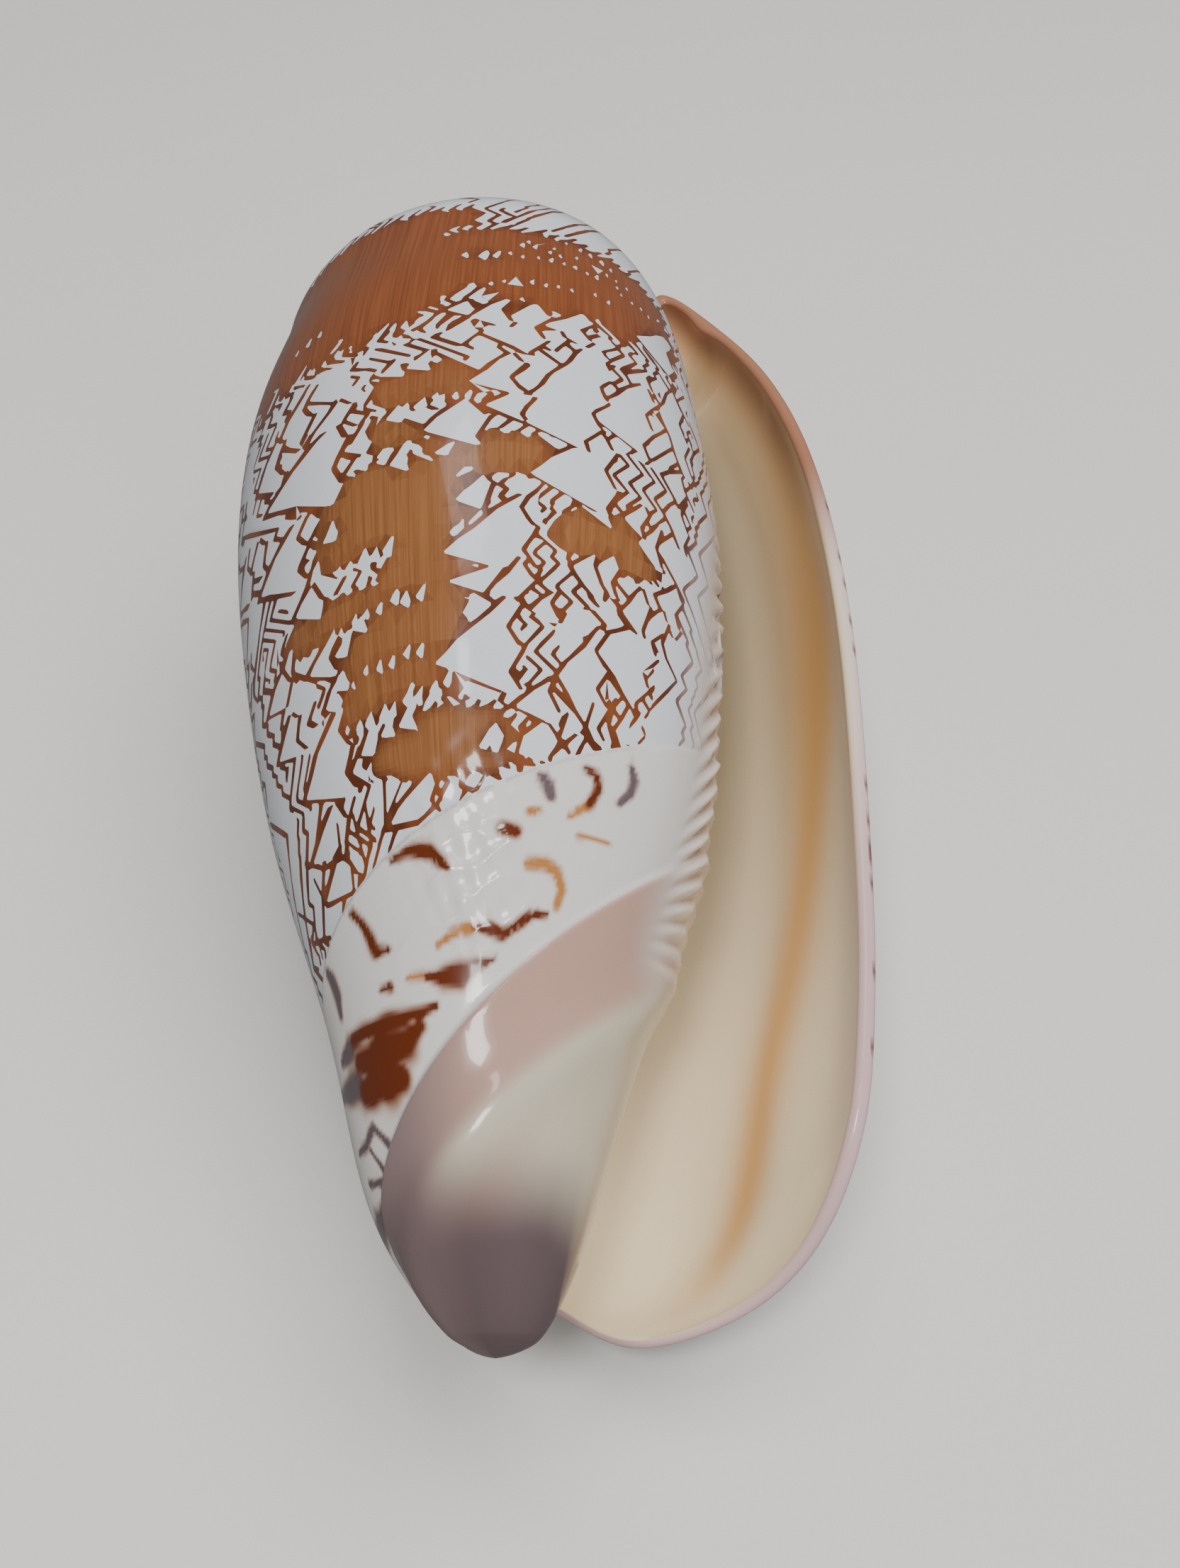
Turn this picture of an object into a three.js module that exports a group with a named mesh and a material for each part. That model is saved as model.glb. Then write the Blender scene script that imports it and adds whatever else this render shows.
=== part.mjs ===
import * as THREE from 'three';

// A tent olive: a glossy spindle of a shell, coiled to the right, lying on its back, slit upwards.
// All lengths are millimetres and all angles are degrees.
// It is shaped about its coiling axis, with the front tip at height 0, and laid down at the end.
// The angle counts from the right side over the upper face to the left, the way the shell grew.

const APEX_HEIGHT = 93.5;
const WHORL_GROWTH = 1.62;
const EDGE_ANGLE = 5;
const LIP_ANGLE = EDGE_ANGLE + 360;

// Height above the tip, with the radius there at the slit's inner edge, at the left side and at the lip.
const STATIONS = [
  { height: 0, edge: 0, side: 0, lip: 0 },
  { height: 0.6, edge: 1.5, side: 1.6, lip: 9 },
  { height: 3, edge: 3.1, side: 4.1, lip: 16.4 },
  { height: 9, edge: 5.3, side: 7.9, lip: 20.2 },
  { height: 19, edge: 8.6, side: 11, lip: 22.6 },
  { height: 31, edge: 12.6, side: 15.5, lip: 23.7 },
  { height: 44, edge: 14.4, side: 19, lip: 24.3 },
  { height: 56, edge: 14.8, side: 21.1, lip: 24.1 },
  { height: 67, edge: 13.9, side: 21.3, lip: 22.7 },
  { height: 75, edge: 12.6, side: 19.9, lip: 20.2 },
  { height: 80, edge: 10.7, side: 18.3, lip: 17.3 },
];
// The shoulder rolls over into a channelled seam.
// These three points are at the lip, and they shrink towards the apex.
const SHOULDER_OUTER = { radius: 14.4, height: 81.3 };
const SHOULDER_INNER = { radius: 11.9, height: 81.45 };
const SEAM = { radius: 10.7, height: 80 };
// Near the lip the shoulder stands up beside the seam.
const LIFT_ANGLE = 75;
const LIFT_OUTER = { radius: -0.3, height: 2.9 };
const LIFT_INNER = { radius: -0.6, height: 4.4 };
const SEAM_STATION = STATIONS.length - 1;
const TOP_STATION = SEAM_STATION + 3;

// The front end of the outer wall flares where the notch opens.
const FLARE_AMOUNT = 0.34;
const FLARE_ANGLE = 308;
const FLARE_SPREAD = 38;
const FLARE_FULL_STATION = 2.1;
const FLARE_END_STATION = 4.2;

// Free edge of the outer wall: it leaves the tip, rises to a notch at the back and rounds into the lip.
const WALL_START_ANGLE = 195;
const WALL_START_STATION = 2.4;
const NOTCH_ANGLE = 243;
const NOTCH_HEIGHT = 9.2;
const CORNER_ANGLE = 318;
const CORNER_HEIGHT = 2.4;
const CORNER_RISE = 13;
const WALL_THICKNESS = 2.3;
const LIP_THICKNESS = 1.1;
const LIP_TAPER_ANGLE = 24;
const LIP_TAPER_STATIONS = 0.9;
const THINNEST_GAP_SHARE = 0.35;
const RIM_BULGE = 0.45;
const RIM_STEPS = 4;
const RIM_FADE_ROWS = 4;

// Hollow behind the lip: it goes back under the front face and rises as it coils in.
// It is rounded above and below.
const HOLLOW_END_ANGLE = 55;
const FLOOR_RISE_STATIONS = 1.8;
const FLOOR_ROUND_STATIONS = 0.8;
const FLOOR_BURIED_DEPTH = 0.3;
const CEILING_BEND_STATION = 8.9;
const BACK_BLEND_STATIONS = 1.3;

// Channel at the upper end of the slit: the hollow rises under the shoulder as it comes to the lip.
const CHANNEL_ANGLE = 48;
const CHANNEL_STATIONS = [10, 10.75, 11.5, 12.2];
const CHANNEL_CENTRE = { radius: 13.6, height: 80.2 };
const CHANNEL_WALL = 1.25;

// Lower plate with its soft ridge. Heights fall in straight lines with the angle.
const PLATE_LINE = { height: 31, fallPerDegree: 0.153 };
const PLATE_RISE = 0.35;
const PLATE_STEP_WIDTH = 1.6;
const RIDGE_LINE = { height: 21.9, fallPerDegree: 0.12 };
const RIDGE_RISE = 0.55;
const RIDGE_WIDTH = 2.2;
const PLATE_END_ANGLE = 190;
const PLATE_FADE_ANGLE = 40;

// Folds across the inner edge of the slit.
const FOLD_COUNT = 22;
const FOLD_RISE = 0.4;
const FOLD_VALLEY_SHARE = 0.45;
const FOLD_REACH_LOW = 26;
const FOLD_REACH_HIGH = 12;
const FOLD_SLANT = 0.011;
const FOLD_FIRST_ROW = 6;
const FOLD_LAST_ROW = 17;

// Facet counts.
const TIP_ROWS = 5;
const BODY_ROWS = 26;
const CEILING_ROW = BODY_ROWS - 1;
const SHOULDER_ROWS = 4;
const FRONT_COLUMNS = 32;
const BACK_COLUMNS = 20;
const CORNER_COLUMNS = 6;
const HOLLOW_COLUMNS = 10;
const FOLD_FRONT_COLUMNS = 4;
const FOLD_BACK_COLUMNS = 3;
const SPIRE_TURNS = 2;

// The pose in which the shell lies still, and the depth of the small flat it lies on.
const ROLL = 0;
const PITCH = 8.5;
const REST_FLAT_DEPTH = 0.6;

const SHELL_COLOUR = '#b98f6e';
const SHELL_ROUGHNESS = 0.18;
const WELD_PER_MM = 2000;

function clamp01(value) {
  return Math.min(1, Math.max(0, value));
}

function easeBetween(low, high, value) {
  const share = clamp01((value - low) / (high - low));
  return share * share * (3 - 2 * share);
}

function mix(from, to, share) {
  return from + (to - from) * share;
}

function steps(from, to, count) {
  return Array.from({ length: count + 1 }, (_, index) => mix(from, to, index / count));
}

// Smooth curve through evenly spaced values, with free ends.
function curveThrough(values) {
  const last = values.length - 1;
  const bend = new Array(last + 1).fill(0);
  const share = new Array(last + 1).fill(0);
  for (let index = 1; index < last; index += 1) {
    const pivot = 4 - share[index - 1];
    share[index] = 1 / pivot;
    const drive = 6 * (values[index + 1] - 2 * values[index] + values[index - 1]);
    bend[index] = (drive - bend[index - 1]) / pivot;
  }
  for (let index = last - 1; index > 0; index -= 1) {
    bend[index] -= share[index] * bend[index + 1];
  }
  return (station) => {
    const low = Math.min(last - 1, Math.max(0, Math.floor(station)));
    const after = station - low;
    const before = 1 - after;
    const chord = before * values[low] + after * values[low + 1];
    const sag = (before ** 3 - before) * bend[low] + (after ** 3 - after) * bend[low + 1];
    return chord + sag / 6;
  };
}

// Radius at one station for any angle of the last turn, growing smoothly through its three measured radii.
function stationRadius(station, angle) {
  if (station.edge === 0) {
    return 0;
  }
  const turn = (angle - EDGE_ANGLE) / 360;
  const edgeShare = 2 * (turn - 0.5) * (turn - 1);
  const sideShare = -4 * turn * (turn - 1);
  const lipShare = 2 * turn * (turn - 0.5);
  return station.edge ** edgeShare * station.side ** sideShare * station.lip ** lipShare;
}

function shrinkToApex(point, angle) {
  const size = WHORL_GROWTH ** ((angle - LIP_ANGLE) / 360);
  return { radius: point.radius * size, height: APEX_HEIGHT + (point.height - APEX_HEIGHT) * size };
}

function lifted(point, lift, angle) {
  const share = easeBetween(LIP_ANGLE - LIFT_ANGLE, LIP_ANGLE, angle);
  return { radius: point.radius + share * lift.radius, height: point.height + share * lift.height };
}

function shoulderTop(angle) {
  return [
    lifted(shrinkToApex(SHOULDER_OUTER, angle), LIFT_OUTER, angle),
    lifted(shrinkToApex(SHOULDER_INNER, angle), LIFT_INNER, angle),
    shrinkToApex(SEAM, angle),
  ];
}

const profileCache = new Map();

function profileAt(angle) {
  if (!profileCache.has(angle)) {
    const top = shoulderTop(angle);
    const radii = STATIONS.map((station) => stationRadius(station, angle));
    const heights = STATIONS.map((station) => station.height);
    profileCache.set(angle, {
      radius: curveThrough([...radii, ...top.map((point) => point.radius)]),
      height: curveThrough([...heights, ...top.map((point) => point.height)]),
    });
  }
  return profileCache.get(angle);
}

// Raised lower plate and its ridge, both fading out at the left side.
function plateRise(angle, height) {
  const fade = 1 - easeBetween(PLATE_END_ANGLE - PLATE_FADE_ANGLE, PLATE_END_ANGLE, angle);
  const plateTop = PLATE_LINE.height - PLATE_LINE.fallPerDegree * angle;
  const plate = PLATE_RISE * easeBetween(PLATE_STEP_WIDTH, -PLATE_STEP_WIDTH, height - plateTop);
  const ridgeTop = RIDGE_LINE.height - RIDGE_LINE.fallPerDegree * angle;
  const ridge = RIDGE_RISE * Math.exp(-(((height - ridgeTop) / RIDGE_WIDTH) ** 2));
  return fade * easeBetween(0, PLATE_STEP_WIDTH * 2, height) * (plate + ridge);
}

function outerWall(angle, station) {
  const profile = profileAt(angle);
  const height = profile.height(station);
  const bell = Math.exp(-(((angle - FLARE_ANGLE) / FLARE_SPREAD) ** 2));
  const low = 1 - easeBetween(FLARE_FULL_STATION, FLARE_END_STATION, station);
  const radius = profile.radius(station) * (1 + FLARE_AMOUNT * bell * low);
  return { radius: radius + plateRise(angle, height), height };
}

// How far a place lies inside the front face: 0 where the wall starts, 1 at the end of the hollow.
function depthInside(angle) {
  return clamp01((WALL_START_ANGLE - angle) / (WALL_START_ANGLE - HOLLOW_END_ANGLE));
}

function floorStation(angle) {
  return WALL_START_STATION + FLOOR_RISE_STATIONS * depthInside(angle);
}

// Back of the spindle, facing the hollow: the turn before, and at the tip one cone with the front.
function spindleBack(angle, station) {
  const edge = outerWall(EDGE_ANGLE, station);
  const wall = outerWall(Math.min(angle, WALL_START_ANGLE), station);
  const turned = clamp01((angle - WALL_START_ANGLE) / (LIP_ANGLE - WALL_START_ANGLE));
  const buried = WALL_THICKNESS * easeBetween(0, FLOOR_BURIED_DEPTH, depthInside(angle));
  const cone = mix(wall.radius - buried, edge.radius, turned);
  const coiled = edge.radius * WHORL_GROWTH ** ((angle - LIP_ANGLE) / 360);
  const floor = floorStation(angle);
  const blend = easeBetween(floor, floor + BACK_BLEND_STATIONS, station);
  return { radius: mix(cone, coiled, blend), height: mix(wall.height, edge.height, turned) };
}

// Share of a quarter circle: 0 at the start, rising steeply to 1.
function roundUp(share) {
  return Math.sqrt(1 - (1 - share) ** 2);
}

// The wall thins towards its free edge, both along the lip and along the front.
function wallThickness(angle, station) {
  if (angle <= WALL_START_ANGLE) {
    return WALL_THICKNESS;
  }
  const fromLip = easeBetween(0, LIP_TAPER_ANGLE, LIP_ANGLE - angle);
  const fromFront = easeBetween(0, LIP_TAPER_STATIONS, station - wallEndStation(angle));
  const fromStart = easeBetween(0, LIP_TAPER_ANGLE, angle - WALL_START_ANGLE);
  const thin = Math.max(1 - fromLip, (1 - fromFront) * fromStart);
  return mix(WALL_THICKNESS, LIP_THICKNESS, thin);
}

function channelShare(angle) {
  return easeBetween(LIP_ANGLE - CHANNEL_ANGLE, LIP_ANGLE, angle);
}

function innerWall(angle, station) {
  const wall = outerWall(angle, station);
  const back = spindleBack(angle, station);
  const gap = wall.radius - back.radius;
  const open = Math.max(THINNEST_GAP_SHARE * gap, gap - wallThickness(angle, station));
  const overBend = clamp01((station - CEILING_BEND_STATION) / (CEILING_STATION - CEILING_BEND_STATION));
  const bend = overBend * (1 - channelShare(angle));
  const overFloor = station - floorStation(angle);
  const floorRound = FLOOR_ROUND_STATIONS * depthInside(angle);
  const lift = floorRound > 0 ? roundUp(clamp01(overFloor / floorRound)) : 1;
  const radius = back.radius + open * lift * roundUp(1 - bend);
  return { radius, height: mix(wall.height, back.height, bend ** 4) };
}

function stationAtHeight(angle, height) {
  const profile = profileAt(angle);
  let low = 0;
  let high = SEAM_STATION;
  for (let round = 0; round < 50; round += 1) {
    const middle = (low + high) / 2;
    if (profile.height(middle) < height) {
      low = middle;
    } else {
      high = middle;
    }
  }
  return low;
}

// Where the outer wall ends at the front.
function wallEndStation(angle) {
  if (angle <= WALL_START_ANGLE) {
    return WALL_START_STATION;
  }
  const startHeight = profileAt(WALL_START_ANGLE).height(WALL_START_STATION);
  let height;
  if (angle < NOTCH_ANGLE) {
    height = mix(startHeight, NOTCH_HEIGHT, easeBetween(WALL_START_ANGLE, NOTCH_ANGLE, angle));
  } else if (angle < CORNER_ANGLE) {
    height = mix(NOTCH_HEIGHT, CORNER_HEIGHT, easeBetween(NOTCH_ANGLE, CORNER_ANGLE, angle));
  } else {
    const along = (angle - CORNER_ANGLE) / (LIP_ANGLE - CORNER_ANGLE);
    height = CORNER_HEIGHT + CORNER_RISE * (1 - Math.sqrt(Math.max(0, 1 - along * along)));
  }
  return stationAtHeight(angle, height);
}

function bodyStation(angle, row) {
  return mix(wallEndStation(angle), SEAM_STATION, row / BODY_ROWS);
}

const CEILING_STATION = mix(WALL_START_STATION, SEAM_STATION, CEILING_ROW / BODY_ROWS);

// Rows inside the hollow run from its floor, or from the free edge where there is no floor.
function insideStation(angle, row) {
  const start = angle < WALL_START_ANGLE ? floorStation(angle) : wallEndStation(angle);
  return mix(start, CEILING_STATION, row / CEILING_ROW);
}

function backStation(angle, row) {
  return mix(floorStation(angle), CEILING_STATION, row / CEILING_ROW);
}

function toPoint(angle, place) {
  const turn = THREE.MathUtils.degToRad(angle);
  const { radius, height } = place;
  return new THREE.Vector3(radius * Math.cos(turn), height, radius * Math.sin(turn));
}

// Triangle list in which equal corners are one corner.
const corners = [];
const cornerNumbers = new Map();
const triangles = [];

function cornerNumber(point) {
  const key = point.toArray().map((part) => Math.round(part * WELD_PER_MM)).join(' ');
  if (!cornerNumbers.has(key)) {
    cornerNumbers.set(key, corners.length);
    corners.push(point.clone());
  }
  return cornerNumbers.get(key);
}

function addTriangle(first, second, third) {
  const numbers = [first, second, third].map(cornerNumber);
  if (new Set(numbers).size === 3) {
    triangles.push(numbers);
  }
}

function addPatch(lines, facesOut) {
  for (let line = 0; line + 1 < lines.length; line += 1) {
    for (let place = 0; place + 1 < lines[line].length; place += 1) {
      const here = lines[line][place];
      const ahead = lines[line][place + 1];
      const beside = lines[line + 1][place];
      const across = lines[line + 1][place + 1];
      if (facesOut) {
        addTriangle(here, ahead, across);
        addTriangle(here, across, beside);
      } else {
        addTriangle(here, across, ahead);
        addTriangle(here, beside, across);
      }
    }
  }
}

// Joins two lines of corners of different lengths, always by the shorter cross edge.
function addZip(left, right) {
  let atLeft = 0;
  let atRight = 0;
  while (atLeft + 1 < left.length || atRight + 1 < right.length) {
    const canLeft = atLeft + 1 < left.length;
    const canRight = atRight + 1 < right.length;
    const leftLength = canLeft ? left[atLeft + 1].distanceTo(right[atRight]) : Infinity;
    const rightLength = canRight ? right[atRight + 1].distanceTo(left[atLeft]) : Infinity;
    if (leftLength <= rightLength) {
      addTriangle(left[atLeft], left[atLeft + 1], right[atRight]);
      atLeft += 1;
    } else {
      addTriangle(left[atLeft], right[atRight + 1], right[atRight]);
      atRight += 1;
    }
  }
}

const frontAngles = steps(EDGE_ANGLE, WALL_START_ANGLE, FRONT_COLUMNS);
const notchAngles = steps(WALL_START_ANGLE, CORNER_ANGLE, BACK_COLUMNS);
const cornerAngles = steps(0, Math.PI / 2, CORNER_COLUMNS).map(
  (turn) => mix(CORNER_ANGLE, LIP_ANGLE, Math.sin(turn)),
);
const wallAngles = [...notchAngles, ...cornerAngles.slice(1)];
const hollowAngles = steps(HOLLOW_END_ANGLE, WALL_START_ANGLE, HOLLOW_COLUMNS);
const insideAngles = [...hollowAngles, ...wallAngles.slice(1)];
const turnAngles = [...frontAngles, ...wallAngles.slice(1)];

const tipStations = steps(0, WALL_START_STATION, TIP_ROWS);
const bodyRows = steps(0, BODY_ROWS, BODY_ROWS);
const wallRows = steps(0, CEILING_ROW, CEILING_ROW);
const shoulderStations = steps(SEAM_STATION, TOP_STATION, SHOULDER_ROWS);

// Outside of the last turn, as one line of corners for each angle.
function bodyLine(angle) {
  return bodyRows.map((row) => toPoint(angle, outerWall(angle, bodyStation(angle, row))));
}

function shoulderLine(angle) {
  return shoulderStations.map((station) => toPoint(angle, outerWall(angle, station)));
}

function tipLine(angle, surface) {
  return tipStations.map((station) => toPoint(angle, surface(angle, station)));
}

// Folds: crest and valley rows, slanting down away from the slit and dying out along their reach.
const foldRows = steps(0, 2 * FOLD_COUNT, 2 * FOLD_COUNT);
const foldLowStation = bodyStation(EDGE_ANGLE, FOLD_FIRST_ROW);
const foldHighStation = bodyStation(EDGE_ANGLE, FOLD_LAST_ROW);

function foldPoint(angle, row, surface) {
  const along = row / (2 * FOLD_COUNT);
  const past = angle > 180 ? LIP_ANGLE - angle : angle - EDGE_ANGLE;
  const slant = angle > 180 ? 0 : FOLD_SLANT * past * Math.sin(Math.PI * along);
  const station = mix(foldLowStation, foldHighStation, along) - slant;
  const reach = mix(FOLD_REACH_LOW, FOLD_REACH_HIGH, along);
  const strength = FOLD_RISE * Math.sin(Math.PI * along) ** 0.5 * (1 - easeBetween(0, reach, past));
  const place = surface(angle, station);
  const rise = row % 2 === 1 ? strength : -FOLD_VALLEY_SHARE * strength;
  return toPoint(angle, { radius: place.radius + rise, height: place.height });
}

function foldLine(angle, surface) {
  return foldRows.map((row) => foldPoint(angle, row, surface));
}

function plainLine(angle) {
  return bodyLine(angle).slice(FOLD_FIRST_ROW, FOLD_LAST_ROW + 1);
}

// The front tip and the outside of the last turn.
addPatch(frontAngles.map((angle) => tipLine(angle, outerWall)), true);
const foldFrontAngles = frontAngles.slice(0, FOLD_FRONT_COLUMNS + 1);
const pastFoldAngle = frontAngles[FOLD_FRONT_COLUMNS + 1];
const besideFolds = frontAngles.slice(0, FOLD_FRONT_COLUMNS + 2);
addPatch(besideFolds.map((angle) => bodyLine(angle).slice(0, FOLD_FIRST_ROW + 1)), true);
addPatch(besideFolds.map((angle) => bodyLine(angle).slice(FOLD_LAST_ROW)), true);
addPatch(foldFrontAngles.map((angle) => foldLine(angle, outerWall)), true);
addZip(foldLine(foldFrontAngles.at(-1), outerWall), plainLine(pastFoldAngle));
addPatch(turnAngles.slice(FOLD_FRONT_COLUMNS + 1).map(bodyLine), true);
addPatch(turnAngles.map(shoulderLine), true);

// The spire repeats the shoulder, smaller with each turn, and ends in a small cone.
function spireLine(angle) {
  const size = WHORL_GROWTH ** ((angle - EDGE_ANGLE) / 360);
  return shoulderStations.map((station) => {
    const place = outerWall(EDGE_ANGLE, station);
    const height = APEX_HEIGHT + (place.height - APEX_HEIGHT) * size;
    return toPoint(angle, { radius: place.radius * size, height });
  });
}

const apex = new THREE.Vector3(0, APEX_HEIGHT, 0);
for (let turn = 1; turn <= SPIRE_TURNS; turn += 1) {
  addPatch(turnAngles.map((angle) => spireLine(angle - 360 * turn)), true);
}
const lastTurn = turnAngles.map((angle) => spireLine(angle - 360 * SPIRE_TURNS));
const apexRing = lastTurn.map((line) => line.at(-1));
const apexSeam = [...lastTurn[0]].reverse();
for (let place = 0; place + 1 < apexRing.length; place += 1) {
  addTriangle(apexRing[place], apex, apexRing[place + 1]);
}
for (let place = 0; place + 1 < apexSeam.length; place += 1) {
  addTriangle(apexSeam[place + 1], apex, apexSeam[place]);
}

// Back of the spindle, with the folds running over its edge.
function backLine(angle) {
  return wallRows.map((row) => toPoint(angle, spindleBack(angle, backStation(angle, row))));
}

const beforeFolds = insideAngles.length - 1 - FOLD_BACK_COLUMNS;
const foldBackAngles = insideAngles.slice(beforeFolds);
const besideBackFolds = insideAngles.slice(beforeFolds - 1);
addPatch(wallAngles.map((angle) => tipLine(angle, spindleBack)), true);
addPatch(insideAngles.slice(0, beforeFolds).map(backLine), true);
addPatch(besideBackFolds.map((angle) => backLine(angle).slice(0, FOLD_FIRST_ROW + 1)), true);
addPatch(besideBackFolds.map((angle) => backLine(angle).slice(FOLD_LAST_ROW)), true);
addPatch(foldBackAngles.map((angle) => foldLine(angle, spindleBack)), true);
const plainBack = backLine(insideAngles[beforeFolds - 1]).slice(FOLD_FIRST_ROW, FOLD_LAST_ROW + 1);
addZip(plainBack, foldLine(foldBackAngles[0], spindleBack));

// Under the shoulder the channel keeps a wall, and it shrinks to the ceiling away from the lip.
function channelPoint(angle, station) {
  const wall = outerWall(angle, station);
  const ceiling = spindleBack(angle, CEILING_STATION);
  const across = CHANNEL_CENTRE.radius - wall.radius;
  const along = CHANNEL_CENTRE.height - wall.height;
  const inward = CHANNEL_WALL / Math.hypot(across, along);
  const share = channelShare(angle);
  const radius = mix(ceiling.radius, wall.radius + across * inward, share);
  const height = mix(ceiling.height, wall.height + along * inward, share);
  return toPoint(angle, { radius, height });
}

// Inside of the outer wall, the channel, and the end of the hollow.
function insideLine(angle) {
  const line = wallRows.map((row) => toPoint(angle, innerWall(angle, insideStation(angle, row))));
  line[0] = angle <= WALL_START_ANGLE ? backLine(angle)[0] : line[0];
  const channel = CHANNEL_STATIONS.map((station) => channelPoint(angle, station));
  const ceiling = backLine(angle)[CEILING_ROW];
  if (channelShare(angle) === 0) {
    line[CEILING_ROW] = ceiling;
  }
  return [...line, ...channel, ceiling];
}

addPatch(insideAngles.map(insideLine), false);
addPatch([backLine(HOLLOW_END_ANGLE), insideLine(HOLLOW_END_ANGLE)], false);

// Rounded free edge, from the tip along the notch, up the lip and over the shoulder to the seam.
const outerFront = wallAngles.map((angle) => bodyLine(angle)[0]);
const outerEdge = [...outerFront, ...bodyLine(LIP_ANGLE).slice(1), ...shoulderLine(LIP_ANGLE).slice(1)];
const innerFront = wallAngles.map((angle) => insideLine(angle)[0]);
const innerEdge = [...innerFront, ...insideLine(LIP_ANGLE).slice(1)];
const rimTurns = steps(0, Math.PI, RIM_STEPS);

function rimLine(place) {
  const outer = outerEdge[place];
  const inner = innerEdge[place];
  const isEnd = place === 0 || place === outerEdge.length - 1;
  if (isEnd) {
    return [outer, outer, outer, inner, inner];
  }
  const along = outerEdge[place + 1].clone().sub(outerEdge[place - 1]);
  const halfAcross = outer.clone().sub(inner).multiplyScalar(0.5);
  const middle = outer.clone().add(inner).multiplyScalar(0.5);
  const outward = along.clone().cross(halfAcross).normalize().multiplyScalar(-1);
  const fade = Math.min(1, (outerEdge.length - 1 - place) / RIM_FADE_ROWS);
  const bulge = Math.min(halfAcross.length(), RIM_BULGE) * fade;
  return rimTurns.map((turn) => middle.clone()
    .addScaledVector(halfAcross, Math.cos(turn))
    .addScaledVector(outward, bulge * Math.sin(turn)));
}

addPatch(outerEdge.map((_, place) => rimLine(place)), false);

// Lay the shell down: turn it to its resting pose, flatten the spot it lies on and centre it.
const pose = new THREE.Matrix4().makeRotationX(THREE.MathUtils.degToRad(PITCH));
pose.multiply(new THREE.Matrix4().makeRotationY(THREE.MathUtils.degToRad(ROLL)));
const laid = corners.map((point) => point.clone().applyMatrix4(pose));
const floorHeight = Math.min(...laid.map((point) => point.z)) + REST_FLAT_DEPTH;
for (const point of laid) {
  point.z = Math.max(point.z, floorHeight);
}
const box = new THREE.Box3().setFromPoints(laid);
const centre = box.getCenter(new THREE.Vector3());
for (const point of laid) {
  point.sub(new THREE.Vector3(centre.x, centre.y, box.min.z));
}

const geometry = new THREE.BufferGeometry().setFromPoints(laid);
geometry.setIndex(triangles.flat());
geometry.computeVertexNormals();
const material = new THREE.MeshStandardMaterial({
  color: SHELL_COLOUR,
  roughness: SHELL_ROUGHNESS,
  metalness: 0,
});
const shell = new THREE.Mesh(geometry, material);
shell.name = 'shell';

const model = new THREE.Group();
model.add(shell);
export default model;
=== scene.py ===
import bpy
import math
import numpy as np
from mathutils import Matrix, Vector
from mathutils.geometry import delaunay_2d_cdt


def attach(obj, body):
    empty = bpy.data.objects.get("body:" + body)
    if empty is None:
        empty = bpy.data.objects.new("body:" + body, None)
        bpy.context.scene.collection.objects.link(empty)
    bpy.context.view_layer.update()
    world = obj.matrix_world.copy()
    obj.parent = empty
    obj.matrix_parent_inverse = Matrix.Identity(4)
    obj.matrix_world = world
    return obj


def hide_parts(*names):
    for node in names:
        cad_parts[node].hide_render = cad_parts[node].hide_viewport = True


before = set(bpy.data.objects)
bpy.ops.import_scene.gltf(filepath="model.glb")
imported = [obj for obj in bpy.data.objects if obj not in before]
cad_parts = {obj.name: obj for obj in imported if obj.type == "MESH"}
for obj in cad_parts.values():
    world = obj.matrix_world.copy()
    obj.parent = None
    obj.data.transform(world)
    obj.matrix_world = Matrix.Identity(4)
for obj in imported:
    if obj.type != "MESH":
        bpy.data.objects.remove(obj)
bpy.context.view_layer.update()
print("frame loaded")

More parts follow.
